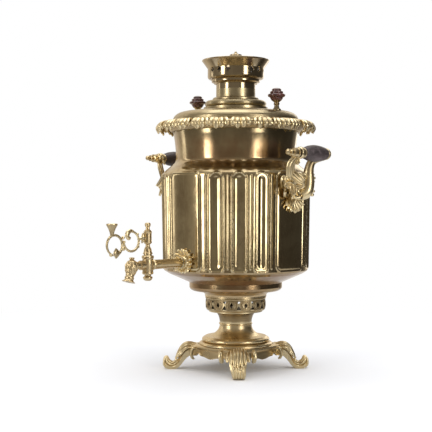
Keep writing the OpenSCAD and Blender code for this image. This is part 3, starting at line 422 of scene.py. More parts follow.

# Stains on the boiler and painted shade under its leaves: the heights each lies between and the height it
# fades over, its noise (scale, detail, roughness), how that is levelled (from, to, strength at each) and its
# colour
STAINS_AND_SHADE = (
    # Brown bloom from the heat round the neck
    ((neck_z - 22, rim_z - 12, 22), (21, 4, 0.6), (0.4, 0.62, 0, 0.55), (0.36, 0.2, 0.1)),
    # Painted shade under the leaves of the border, darkening the top of the neck
    ((rim_z - 36, rim_z + 30, 26), (14, 3, 0.5), (0.25, 0.6, 0.45, 0.85), (0.2, 0.165, 0.1)),
    # Scorching over the fire
    ((gallery_high.z - 4, wall_z + 6, 8), (26, 4, 0.6), (0.35, 0.62, 0.35, 0.9), (0.33, 0.185, 0.09)),
)


def weather(n, colour, gloss, tarnish, satin):
    """Adds upright streaks, stains and painted shade on the boiler and the duller foot and tap; gives colour
    and gloss.
    """
    streak = n.level(n.noise(150, 5, 0.65, stretch=(1, 1, 0.1)), 0.46, 0.7)
    streak = n.math("MULTIPLY", streak, 0.4)
    colour = n.blend(streak, colour, tarnish)
    gloss = n.math("ADD", gloss, n.math("MULTIPLY", streak, 0.16))
    # Blends in each stain, and the painted shade under the leaves
    for heights, noise, levels, stain in STAINS_AND_SHADE:
        amount = n.math("MULTIPLY", n.inside(boiler_r, *heights), n.level(n.noise(*noise), *levels))
        colour = n.blend(amount, colour, stain)
    # The foot and the tap are handled and cleaned less than the boiler
    off_boiler = n.math("SUBTRACT", 1, n.inside(past_boiler_r, UNDER_ALL, OVER_ALL))
    dull = n.math("MAXIMUM", n.inside(past_feet_r, UNDER_ALL, foot_top_z), off_boiler)
    gloss = n.math("ADD", gloss, n.math("MULTIPLY", dull, satin))
    return n.blend(n.math("MULTIPLY", dull, 0.6), colour, DULL_BRASS), gloss


def brass(name, clean, tarnish, rough, dents, patches=(0.42, 0.62), cast=False, satin=0, sooty=False):
    """Aged brass: cloudy tarnish, dark specks, fine polishing lines, bright worn edges, shallow dents.
    cast darkens the hollows with tarnish and painted shade, satin dulls the foot and the tap, and soot and
    painted shade blacken the inside of the gallery and, with the last flag, faces that look in near the flue."""
    n = Surface(name)
    stain = n.level(n.noise(17, 6, 0.62, distortion=0.6), *patches)
    speck = n.level(n.noise(240, 3, 0.6), 0.66, 0.74, 0, 0.5)
    dark = n.math("MAXIMUM", n.math("MULTIPLY", stain, 0.75), speck)
    if cast:
        wear_and_shade = n.new("Attribute", attribute_name="wear_and_shade").outputs["Fac"]
        # Tarnish and painted shade in the hollows of the castings
        dark = n.math("MAXIMUM", dark, n.level(wear_and_shade, 0.0, 0.45, 0.8, 0.0))
    edge = n.level(n.new("NewGeometry").outputs["Pointiness"], 0.5, 0.56)
    dark = n.math("SUBTRACT", dark, n.math("MULTIPLY", edge, 0.6))
    colour = n.blend(dark, clean, tarnish)
    above, below = (3, -3) if cast else (0.5, 4)
    # Soot and painted shade inside the gallery, and with the last flag on inward faces near the flue
    soot_and_shade = n.inside(soot_and_shade_r, gallery_low.z + above, gallery_high.z + below)
    if sooty:
        inner = n.math("MULTIPLY", n.inward(), n.inside(flue_reach_r, 0, OVER_ALL))
        soot_and_shade = n.math("MAXIMUM", soot_and_shade, inner)
    colour = n.blend(soot_and_shade, colour, SOOT_AND_SHADE)
    gloss = n.level(n.noise(38, 5, 0.6, distortion=1.2), 0.3, 0.75, *rough)
    gloss = n.math("ADD", gloss, n.math("MULTIPLY", dark, 0.12))
    if satin:
        colour, gloss = weather(n, colour, gloss, tarnish, satin)
    n.dress(Base_Color=colour, Roughness=gloss, Metallic=1.0)
    if cast:
        surface = (n.noise(160, 4, 0.6), 0.0004, 0.35)
    else:
        surface = (n.noise(30, 3, 0.6, stretch=(1, 1, 60)), 0.00004, 0.4)
    n.bump((n.noise(11, 3, 0.5), 0.004 * dents, 0.35), (n.noise(900, 2, 0.5), 0.00003, 0.35), surface)


def turned_wood(name, colour, dark, rough, coat, grain=(1, 1, 1)):
    """Turned hardwood, stained and handled: fine grain, worn patches and dust in the pores."""
    n = Surface(name)
    figure = n.noise(90, 6, 0.65, stretch=grain, distortion=0.8)
    patch = n.noise(120, 4, 0.6)
    tone = n.ramp(figure, (0.3, dark), (0.62, colour), (0.8, tuple(min(c * 1.7, 1) for c in colour)))
    dusty = tuple(c * 1.6 + 0.02 for c in colour)
    n.dress(Base_Color=n.blend(n.level(patch, 0.52, 0.7, 0, 0.7), tone, dusty),
            Roughness=n.level(patch, 0.35, 0.7, *rough), Coat_Weight=coat, Coat_Roughness=0.12)
    n.bump((figure, 0.0004, 0.5), (n.noise(700, 3, 0.6), 0.0002, 0.4))


def pitted(name, noise, stops, rough, depth, metal):
    """Dull stuff whose pits are darker or rustier than the rest."""
    n = Surface(name)
    pits = n.noise(*noise)
    n.dress(Base_Color=n.ramp(pits, *stops), Roughness=n.level(pits, 0.3, 0.7, *rough), Metallic=metal)
    n.bump((pits, depth, 0.6))


brass("brass", (0.60, 0.49, 0.29), (0.33, 0.24, 0.13), (0.06, 0.17), 0.12, satin=0.16)
brass("lid_brass", (0.49, 0.405, 0.245), (0.30, 0.22, 0.125), (0.22, 0.38), 0.2)
brass("dark_brass", (0.47, 0.375, 0.235), (0.24, 0.17, 0.1), (0.06, 0.2), 0.15, patches=(0.36, 0.6), sooty=True)
brass("pale_brass", (0.90, 0.75, 0.46), (0.2, 0.13, 0.06), (0.23, 0.4), 0.1, cast=True)
turned_wood("knob_wood", (0.09, 0.024, 0.018), (0.02, 0.008, 0.008), (0.1, 0.26), 1.0)
turned_wood("grip_wood", (0.085, 0.062, 0.062), (0.022, 0.015, 0.016), (0.42, 0.7), 0.1, grain=(1, 0.15, 1))
RUST = ((0.4, (0.03, 0.028, 0.026)), (0.6, (0.09, 0.07, 0.055)), (0.75, (0.16, 0.08, 0.04)))
HIDE = ((0.3, (0.12, 0.06, 0.03)), (0.7, (0.28, 0.16, 0.08)))
pitted("iron", (80, 6, 0.7), RUST, (0.5, 0.85), 0.001, 0.7)
pitted("leather", (500, 4, 0.6), HIDE, (0.45, 0.7), 0.0004, 0.0)
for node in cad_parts.values():
    for place in node.material_slots:
        name = place.material.name.split(".")[0]
        if name in MATERIALS:
            place.material = MATERIALS[name]


# ---- boiler ----

flute_pitch = 17  # degrees
flute_w = 20.5
flute_low = wall_z + 3.6
flute_high = shoulder_z + 4
bead_w, bead_h = 2.1, 1.5
hollow_w, hollow_depth = 5.6, 1.3
rib_w, rib_h, rib_inset = 1.7, 1.2, 5
panel_half, panel_corner, panel_rise = 15.5, 9, 0.7
foot_corner = 5.5
wall_columns = 1440


def bead(d, w, h):
    """Height of a round bead of half width w at the distances d from its middle."""
    return np.where(np.abs(d) < w, h * np.cos(np.pi * d / (2 * w)) ** 2, 0)


def outside(u, z, half, low, high, low_corner, high_corner):
    """Distance from the outline of an upright panel with round corners: negative inside it."""
    if z > (low + high) / 2:
        corner, v = high_corner, z - (high - high_corner)
    else:
        corner, v = low_corner, low + low_corner - z
    p = np.abs(u) - (half - corner)
    return np.hypot(np.maximum(p, 0), max(v, 0)) + np.minimum(np.maximum(p, v), 0) - corner


def fluting(a, r, z):
    """Height of the wall's relief at the angles a (degrees) of one row at radius r and height z."""
    off = (a + 360) % 90 - 45
    out = np.zeros_like(a)
    half = flute_w / 2
    edge = half - hollow_w
    for i in (-1, 0, 1):
        u = np.radians(off - i * flute_pitch) * r
        out += bead(outside(u, z, half, flute_low, flute_high, foot_corner, half), bead_w, bead_h)
        inner = outside(u, z, hollow_w, flute_low + edge, flute_high - edge, hollow_w, hollow_w)
        out -= hollow_depth * np.sin(np.clip(-inner / hollow_w, 0, 1) * np.pi / 2)
    v = max(flute_low + rib_inset - z, z - flute_high + rib_inset, 0)
    for i in (-1.5, -0.5, 0.5, 1.5):
        u = np.radians(off - i * flute_pitch) * r
        out += bead(np.hypot(u, v), rib_w, rib_h)
    u = np.radians((a + 45) % 90 - 45) * r
    d = outside(u, z, math.radians(panel_half) * r, flute_low, flute_high, panel_corner, panel_corner)
    out += bead(d, rib_w, rib_h) + panel_rise * np.clip(-(d + rib_w) / 3, 0, 1) ** 0.5
    return out


def wall_outline():
    """Outer line of the boiler from its foot to its rim, as (radius, height). Its points are closer
    together where the flutes end."""
    line = [(wall_low_r - turned_in, wall_z), (wall_low_r - 0.7, wall_z + 0.5),
            (wall_low_r - 0.2, wall_z + 1.4), (wall_radius(wall_z + 3), wall_z + 3)]
    fine_step, coarse_step, low_end, high_end = 0.7, 3.4, 11, 17
    z = wall_z + 4
    while z < shoulder_z:
        z += fine_step if z < flute_low + low_end or z > flute_high - high_end else coarse_step
        line.append((wall_radius(min(z, shoulder_z)), min(z, shoulder_z)))
    line += ogee((wall_top_r, shoulder_z), (neck_r, neck_z), 34)[1:]
    top = rim_z - border_h
    steps = 10
    line += [(mix(neck_r, rim_r, (i / steps) ** 2), mix(neck_z, top, i / steps)) for i in range(1, steps + 1)]
    return line + [(rim_r, rim_z - border_h / 2), (rim_r, rim_z)]


def build_body():
    line = wall_outline()
    angles = np.arange(wall_columns) * 360 / wall_columns
    cos, sin = np.cos(np.radians(angles)), np.sin(np.radians(angles))
    part = Part()
    verts, wear_and_shade = [], []
    for r, z in line:
        h = fluting(angles, r, z) if z < flute_high + 3 else np.zeros(wall_columns)
        verts += [Vector((x, y, z)) for x, y in zip((r + h) * cos, (r + h) * sin)]
        wear_and_shade += list(np.clip(0.5 + h * 0.35, 0, 1))
    inner = [(r - sheet_t - (hollow_depth if z < shoulder_z else 0), z) for r, z in line[::-6]]
    inner = [(rim_r - sheet_t, rim_z)] + inner[1:] + [(wall_low_r - turned_in - sheet_t, wall_z)]
    for r, z in inner:
        verts += [Vector((r * x, r * y, z)) for x, y in zip(cos, sin)]
        wear_and_shade += [0.5] * wall_columns
    part.add(verts, grid_faces(len(line) + len(inner), wall_columns, wrap_rows=True), wear_and_shade)
    part.make("boiler_wall", "root", "brass", "body_shell", "body_neck")


build_body()


# ---- leaf border under the lid ----

border_leaves = 24
# The four fingers of a leaf: place across it, length and sideways slant in degrees
FINGERS = ((-0.40, 0.74, -26), (-0.17, 0.98, -10), (0.10, 0.90, 12), (0.34, 0.7, 30))


def build_border():
    part = Part()
    core = [(0, -14), (0, -0.3), (5, -0.4), (10, -2.2), (12, -5), (8, -9), (4, -14)]
    core = softened([(rim_r + r, rim_z + z) for r, z in core], 1.5, True)
    steps = 192
    # The core counts as a hollow, so castings paint it dark with tarnish and painted shade between the leaves
    part.add(turned(core, steps), grid_faces(len(core), steps, wrap_rows=True), [0.0] * (len(core) * steps))
    n = 20
    wide = along([2.2, 3.0, 3.6, 3.9, 4.1, 3.7, 2.8, 1.2], n)
    deep = [w * 0.68 + 0.3 for w in wide]
    for i in range(border_leaves):
        lean = rng.uniform(-0.12, 0.12)
        for across, tall, slant in FINGERS:
            tall *= rng.uniform(0.92, 1.04)
            root = 360 / border_leaves * (i + 0.45 * across + lean)
            tip = 360 / border_leaves * (i + across + lean * 1.6) + rng.uniform(-0.35, 0.35)
            out = border_reach - 1.3 - 5 * (1 - tall) - rng.uniform(0, 1.2)
            # Radius, height over the rim, and share of the way from the root's angle to the tip's
            path = [(rim_r + 1.5, -1.6, 0), (rim_r + 7, -1.0, 0.2), (out - 7, -1.4, 0.5),
                    (out - 2.2, -4.2, 0.75), (out, -8.6, 0.9), (out - 1.4, -12.6 * tall, 1),
                    (out - 2.2, -15.2 * tall, 1.04), (out - 1.6, -16.6 * tall, 1.04)]
            pts = [polar(r, math.radians(mix(root, tip, t)), rim_z + z) for r, z, t in path]
            a, turn = math.radians(tip), math.radians(slant)
            side = (polar(math.cos(turn), a + math.pi / 2, 0)
                    + polar(math.sin(turn) * 0.5, a, math.sin(turn) * 0.8))
            sweep(part, smooth_path(pts, n), wide, deep, side, ring=16, grooves=2, groove=0.30)
    part.make("leaf_border_cast", "root", "pale_brass", "leaf_border", crease=60)


build_border()


# ---- feet ----

# Upper and lower line of a foot, as (distance from the toe, height), and its width along them
foot_top = [(-57, 30), (-48, 36.4), (-41.5, 38.4), (-34.5, 37.6), (-29, 33), (-25.5, 26.5), (-23, 19.5),
            (-20, 13), (-16, 9.6), (-12, 9.6), (-8, 12), (-5.8, 15), (-4.4, 17)]
foot_under = [(-57, 24), (-50, 23), (-43.5, 22), (-38.5, 19.5), (-34.5, 16), (-31, 12), (-28, 8),
              (-24, 3.6), (-18, 0.2), (-11, 0), (-4.6, 2), (-1, 8), (-2.6, 14)]
foot_width = [0.9, 1, 1, 1, 1, 0.95, 0.86, 0.76, 0.72, 0.72, 0.7, 0.6, 0.42]
knee_half_w, foot_reach = 13.32, 109
# Lobes of the shell on the knee and of the leaf on the toe: how many, where they start and stop along the
# foot, how much sooner the outer ones stop, how far out they start and stop, and their thickness
FOOT_LEAVES = ((7, 0.05, 0.6, 0.15, (9, 16.2), 3.3), (5, 0.56, 0.985, 0.03, (5.4, 8.2), 2.5))


def build_foot(angle, name, node):
    part = Part()
    turn = Matrix.Rotation(math.radians(angle), 4, "Z")
    rows, cols, low_ring = 56, 31, 9
    top_line = smooth_path([(x, 0, z) for x, z in foot_top], rows - 1)
    low_line = smooth_path([(x, 0, z) for x, z in foot_under], rows - 1)
    verts, wear_and_shade = [], []
    for top, low, share in zip(top_line, low_line, along(foot_width, rows - 1)):
        w = share * knee_half_w
        up = (top - low).normalized()
        deep = (top - low).length
        for j in range(cols):
            s = mix(-1, 1, j / (cols - 1))
            p = top - up * (1.4 + deep * 0.42 * s * s)
            verts.append(Vector((foot_reach + p.x, w * s, max(p.z, 0.2))))
            wear_and_shade.append(0.25)
        for k in range(low_ring):
            s = mix(1, -1, (k + 0.5) / low_ring)
            verts.append(Vector((foot_reach + low.x, w * 0.92 * s, max(low.z, 0.0))))
            wear_and_shade.append(0.2)
    ring = cols + low_ring
    faces = grid_faces(rows, ring)
    for end in (0, rows - 1):
        faces += ring_cap(end * ring, ring, len(verts))
        verts.append(sum((verts[end * ring + j] for j in range(ring)), Vector()) / ring)
        wear_and_shade.append(0.5)
    part.add(verts, faces, wear_and_shade, turn)
    n = 14
    for count, start, stop, shorten, spread, size in FOOT_LEAVES:
        for k in range(count):
            s = mix(-1, 1, k / (count - 1))
            pts = []
            for q in range(n + 1):
                u = q / n
                t = mix(start, stop - shorten * abs(s) ** 1.5, u) * (rows - 1)
                i = min(int(t), rows - 2)
                top, low = top_line[i].lerp(top_line[i + 1], t - i), low_line[i].lerp(low_line[i + 1], t - i)
                lift = 0.5 - (top - low).length * 0.34 * s * s + 2.2 * u ** 3
                out = s * mix(spread[0], spread[1], u ** 0.8)
                pts.append(Vector((foot_reach, out, 0)) + top + (top - low).normalized() * lift)
            big = [size * b for b in along([0.5, 0.62, 0.72, 0.82, 0.92, 0.96, 0.4], n)]
            pts = [Vector((v.x, v.y, max(v.z, big[0] * 0.7))) for v in pts]
            sweep(part, pts, big, [b * 0.95 for b in big], Vector((0, 1, 0)), ring=18, grooves=2, groove=0.12,
                  place=turn)
    n = 12
    # Short flutes down the end of the toe
    for k in range(5):
        y = mix(-7.6, 7.6, k / 4)
        claw = [(-8, y * 0.9, 14), (-5, y, 16.6), (-2.6, y, 15.4), (-1.4, y, 11), (-1.6, y, 6.4),
                (-4, y * 0.92, 2.6)]
        pts = [Vector((foot_reach + a, b, c)) for a, b, c in smooth_path(claw, n)]
        sweep(part, pts, along([1.2, 2, 2.2, 2.1, 1.9, 1.2], n), along([1, 1.6, 1.7, 1.6, 1.5, 1], n),
              Vector((0, 1, 0)), ring=14, place=turn)
    # Narrow lobes against the apron on each side
    for side in (-1, 1):
        lobe = [(-50, side * 23, 34), (-45, side * 24, 33), (-42.5, side * 24, 26), (-44, side * 23, 19.5),
                (-47, side * 22.5, 17.6)]
        pts = [Vector((foot_reach + x, y, z)) for x, y, z in smooth_path(lobe, n)]
        sweep(part, pts, along([2.6, 3.7, 3.9, 3.2, 1.2], n), along([2, 2.6, 2.6, 2.2, 1], n),
              Vector((0.3 * side, 1, 0)), ring=16, grooves=4, groove=0.12, place=turn)
    part.make(name, "root", "pale_brass", node, crease=50)


for angle, corner in ((-45, "front_right"), (45, "back_right"), (135, "back_left"), (225, "front_left")):
    build_foot(angle, "leaf_foot_" + corner, "foot_" + corner)


# ---- base plate ----

plate_corner = 20
plate_columns = 480


def plate_outline(shrink):
    """Points (x, y) of the plate's rounded square, in from its edge by shrink."""
    out = []
    half, r = plate_high.x - shrink, max(plate_corner - shrink, 2)
    middle = half - r
    for j in range(plate_columns):
        a = 2 * math.pi * j / plate_columns
        c, s = math.cos(a), math.sin(a)
        k = half / max(abs(c), abs(s))
        if abs(c * k) > middle and abs(s * k) > middle:
            # Where the ray meets the corner's circle
            ox, oy = math.copysign(middle, c), math.copysign(middle, s)
            b = c * ox + s * oy
            k = b + math.sqrt(max(b * b - (ox * ox + oy * oy - r * r), 0))
        out.append((c * k, s * k))
    return out


def apron_edge(j):
    """Height of the apron's wavy lower edge at one column."""
    a = (360 * j / plate_columns + 45) % 90 - 45
    wave = 1.6 * math.cos(math.radians(a) * 4) + 1.2 * math.cos(math.radians(a) * 12)
    notch = 4.2 * math.exp(-((abs(a) - 24) / 3.2) ** 2)
    return plate_low.z + 2.4 + notch - wave * 0.9


def build_plate():
    part = Part()
    low, high = plate_low.z, plate_high.z
    # Each ring: how far in from the edge, and how far under the top or over the apron's edge
    upper = ((14, 0), (10, 0), (3.4, 0.4), (1.4, 1.6), (0.6, 3.4), (1.6, 5), (2.6, 6.4), (1.6, 8), (0.9, 10))
    apron = ((0.6, 1.6), (0.0, 0.7), (0.4, 0.0), (2.4, 0.0), (3.2, 0.8))
    under = ((3.4, 4), (6, 3), (14, 3))
    verts = [Vector((x, y, high - drop)) for shrink, drop in upper for x, y in plate_outline(shrink)]
    for shrink, rise in apron:
        for j, (x, y) in enumerate(plate_outline(shrink)):
            verts.append(Vector((x, y, max(apron_edge(j) + rise, low))))
    verts += [Vector((x, y, high - drop)) for shrink, drop in under for x, y in plate_outline(shrink)]
    part.add(verts, grid_faces(len(upper + apron + under), plate_columns, wrap_rows=True))
    lathe(part, [(0, high - 3), (0, high), (44, high), (44, high - 3)], steps=96, closed=False)
    part.make("moulded_plate", "root", "brass", "base_plate", crease=50)


build_plate()


# ---- handles ----

grip_axis = Vector(((grip_low.x + grip_high.x) / 2, 0, (grip_low.z + grip_high.z) / 2))
front_collar_y = collars_low.y + 8
back_collar_y = collars_high.y - 4.5
leaf_z = 263
# Leaves on the wall: y, z, direction in degrees from +Y up, length, width, curl and distance off the wall
WALL_LEAVES = ((-14, 268, 128, 24, 13, 0.5, 0.5), (-9, 272, 105, 26, 12, 0.9, 5),
               (3, 272, 78, 22, 13, 1.3, 6), (9, 270, 48, 20, 12, 0.9, 2.5), (10, 262, 2, 19, 12, 0.7, 1.5),
               (-9, 262, 176, 21, 13, 0.7, 1.5), (-3, 265, 205, 22, 12, 1.0, 5),
               (3, 265, -24, 20, 12, 1.0, 5), (0, 266, -90, 13, 17, 1.2, 7))
# Leaves on the near arm's foot, laid out as the photograph's camera sees them: distance to the right and to
# the front, z, direction in degrees from the right up, length, width, curl, ribs and lobes
right, front = Vector((0.737, 0.676, 0)), Vector((0.676, -0.737, 0))
FRONT_LEAVES = ((74, 109, 293, -42, 29, 12, 0.7, 3, 2), (80, 109, 272, 172, 13, 9, 0.7, 3, 2),
                (81, 110, 271, 8, 14, 9, 0.7, 3, 2), (80, 111, 274, -90, 15, 9, 0.5, 3, 2),
                (77, 107, 284, -150, 9, 8, 0.8, 3, 0), (88, 116, 315, 166, 19, 8, -0.25, 1, 0),
                (84, 114, 312, -80, 10, 8, 0.4, 3, 2))
# Buds on the far arm: y, z and radius
BUDS = ((30, 279, 1.9), (30.4, 284, 2.5), (29.4, 289, 1.8), (29.6, 265, 2.2), (27, 260, 2.5),
        (28.8, 294, 1.4))


def build_handle(side, suffix):
    mirror = Matrix.Scale(side, 4, (1, 0, 0))
    part = Part()
    x0, gx, gz = wall_radius(leaf_z), grip_axis.x, grip_axis.z
    n = 44
    # Near arm: fluted, from the leaf cluster up to the front collar
    near = [(x0 + 1, -4, 262), (x0 + 8, -10, 264), (x0 + 14, -18, 273), (x0 + 18.5, -27, 287),
            (x0 + 22, -30, gz - 17), (gx - 5, -27, gz - 8), (gx - 2, front_collar_y, gz - 4)]
    sweep(part, smooth_path(near, n), along([6.2, 6.8, 6.4, 6, 5.8, 5, 4.2], n),
          along([5, 5.4, 5.2, 4.8, 4.6, 4.4, 4], n), Vector((0.63, 0.77, 0)), ring=48, grooves=10, groove=0.2,
          place=mirror)
    # Far arm: smooth, swelling low down, with a row of buds on its outer edge
    far = [(x0 + 1, 4, 259), (x0 + 7, 10, 259), (x0 + 11, 16.5, 265), (x0 + 12.5, 19.5, 276),
           (x0 + 13, 21.5, gz - 21), (x0 + 17, 26, gz - 9), (gx - 2, back_collar_y, gz - 4)]
    sweep(part, smooth_path(far, n), along([5.6, 6.7, 8, 8, 6.4, 5.4, 4.4], n),
          along([5.4, 7.4, 9.6, 9.4, 6.8, 5.8, 4.8], n), Vector((-0.63, 0.77, 0)), ring=24, place=mirror)
    for y, z, r in BUDS:
        ball(part, (x0 + 14.5, y, z), r, place=mirror, stretch=(1, 1.3, 1))
    # Collar rings where the arms take the grip's rod
    for y, half in ((front_collar_y, 4), (back_collar_y, 2.6)):
        lathe(part, [(7.1, -half), (8.1, -half + 1), (8.5, 0), (8.1, half - 1), (7.1, half)], steps=48,
              place=mirror @ axes((gx, y, gz), (0, 0, 1), (0, 1, 0)))
    # Leaves that lie against the front collar
    pointed = axes((gx - 3, front_collar_y - 1, gz - 8), (-0.62, -0.62, 0.42), (-0.3, -0.6, -0.75))
    leaf(part, 21, 10, mirror @ pointed, ribs=1, curl=-0.35, cup=0.1)
    small = axes((gx - 8, front_collar_y, gz - 10), (-0.2, -0.4, 0.9), (0.6, -0.7, 0.1))
    leaf(part, 13, 8, mirror @ small, curl=0.5)
    for y, z, turn, length, width, curl, off in WALL_LEAVES:
        t = math.radians(turn)
        leaf(part, length, width,
             mirror @ axes((x0 + 2 + off, y, z), (0.06, math.cos(t), math.sin(t)), (1, -0.2, 0)),
             curl=curl, lobes=2, thick=2.4)
    for across, out, z, turn, length, width, curl, ribs, lobes in FRONT_LEAVES:
        t = math.radians(turn)
        way = right * math.cos(t) + Vector((0, 0, math.sin(t)))
        leaf(part, length, width, mirror @ axes(right * across + front * out + Vector((0, 0, z)), way, front),
             ribs=ribs, curl=curl, lobes=lobes, cup=0.16, thick=2.2)
    ball(part, right * 70.8 + front * 105 + Vector((0, 0, 281)), 4.4, place=mirror, stretch=(1, 1, 1.4))
    # Shell palmette under the cluster
    for k in range(-3, 4):
        t = math.radians(-90 + k * 17)
        leaf(part, 24 - 1.1 * abs(k), 7.4,
             mirror @ axes((x0 + 1.6, k * 0.9, 258), (0.02, math.cos(t), math.sin(t)), (1, 0, 0)),
             ribs=1, curl=0.45, cup=0.3, depth=0.2, thick=3, base=0.3)
    ball(part, (x0 + 5, 0, 259), 5, place=mirror, stretch=(0.9, 1.2, 1))
    part.make("handle_cast_" + suffix, "root", "pale_brass", "bracket_" + suffix, crease=55)


for side, suffix in SIDES:
    build_handle(side, suffix)


def build_grip(side, suffix):
    """Turned wood that runs on over the back collar to a rounded nose."""
    part = Part()
    start, end = front_collar_y + 6.5, collars_high.y - 0.4
    # Radius, by share of the length
    shape = [(0, 0), (6.4, 0), (8.2, 0.06), (10.7, 0.22), (11.9, 0.4), (11.8, 0.52), (10.6, 0.7), (9, 0.84),
             (7.2, 0.93), (4.4, 0.985), (0, 1)]
    lathe(part, [(r, t * (end - start)) for r, t in shape], steps=64, soft=0.8, closed=False,
          place=axes((side * grip_axis.x, start, grip_axis.z), (1, 0, 0), (0, 1, 0)))
    part.make("turned_grip_" + suffix, "root", "grip_wood", "grip_" + suffix)


for side, suffix in SIDES:
    build_grip(side, suffix)


# ---- lid knobs ----

# Outlines, as (radius, height over the foot of the stem or of the wood)
STEM = [(0, 0), (6.5, 0), (6.3, 1.8), (4.2, 3.4), (3.2, 7), (4.6, 9.4), (3.4, 11)]
STEM_CUP = [(5.4, 2.4), (7, 3.4), (0, 3.4)]
KNOB = [(0, 3.4), (7, 3.4), (9, 6.4), (9.6, 8), (12.4, 9.4), (12.9, 11), (12.2, 12.6), (9, 13.8), (9.7, 15),
        (9.4, 16.4), (6.4, 17.8), (7.2, 19), (6, 20.4), (3.6, 21.4), (0, 21.8)]


def build_knob(suffix):
    low, high = span("knob_" + suffix)
    stem_z = span("knob_stem_" + suffix)[0].z + 0.6
    place = Matrix.Translation(((low.x + high.x) / 2, 0, 0))
    stem = Part()
    outline = [(r, stem_z + z) for r, z in STEM] + [(r, low.z + z) for r, z in STEM_CUP]
    lathe(stem, outline, steps=48, soft=0.4, place=place, closed=False)
    stem.make("knob_foot_" + suffix, "lid", "brass", "knob_stem_" + suffix)
    knob = Part()
    lathe(knob, [(r, low.z + z) for r, z in KNOB], steps=48, soft=0.5, place=place, closed=False)
    knob.make("turned_knob_" + suffix, "lid", "knob_wood", "knob_" + suffix)


for side, suffix in SIDES:
    build_knob(suffix)


# ---- tap ----

def build_rosette():
    part = Part()
    wall = wall_radius(tap_z)
    petals, root_r = 15, 5.5
    for k in range(petals):
        t = math.radians(90 + k * 360 / petals)
        long = 12.2 + 2.6 * math.sin(t)
        leaf(part, long, 5.6, axes((math.cos(t) * root_r, -wall - 0.6, tap_z + math.sin(t) * root_r),
                                   (math.cos(t), 0, math.sin(t)), (0, -1, 0)),
             ribs=1, curl=0.9, cup=0.32, depth=0.2, thick=2.6, base=0.5)
        tip = long + 3.4
        ball(part, (math.cos(t) * tip, -wall - 5.4, tap_z + math.sin(t) * tip), 1.9, steps=12)
    lathe(part, [(6.2, 0), (11, 0), (10, 3.2), (8.4, 6), (6.2, 6)], steps=64,
          place=axes((0, -wall, tap_z), (1, 0, 0), (0, -1, 0)))
    part.make("tap_rose_cast", "root", "pale_brass", "tap_rosette", crease=50)


build_rosette()

spout_y, spout_lean = -207.5, 16


def build_spout():
    """Fat bulb with twisted flutes and a flared lip, over the nozzle of the tap."""
    part = Part()
    lean = Matrix.Translation((0, spout_y, tap_z)) @ Matrix.Rotation(math.radians(-spout_lean), 4, "X")
    outer = [(4.4, 7.4), (7.2, 5), (8.4, 1), (8.3, -3), (7.2, -8), (5.9, -11.6), (5.4, -14.4), (6.5, -16),
             (6.4, -17.6), (5.5, -19), (6.6, -20.4), (9.1, -22), (9.2, -22.5), (8, -22.5)]
    bore = [(4.9, -18.6), (4.7, -8), (3, 4)]
    lathe(part, outer + bore, steps=64, soft=0.6, place=lean)
    flutes, n = 9, 16
    for k in range(flutes):
        pts, wide = [], []
        for i in range(n + 1):
            t = i / n
            z = mix(4.5, -12.5, t)
            if z > -7:
                r = 8.2 * math.cos(math.asin(min(abs(z + 0.6) / 9.6, 1)))
            else:
                r = mix(7.0, 5.3, (-7 - z) / 5.5)
            pts.append(polar(r, 2 * math.pi * (k / flutes + 0.28 * t), z))
            wide.append(0.5 + 0.9 * math.sin(math.pi * t) ** 0.7)
        sweep(part, pts, wide, wide, Vector((0, 0, 1)), ring=10, place=lean)
    part.make("spout_bulb", "root", "brass", crease=50)


build_spout()

key_axis_y, ring_mid_z = -178.5, 196.5
ring_r = 13.3


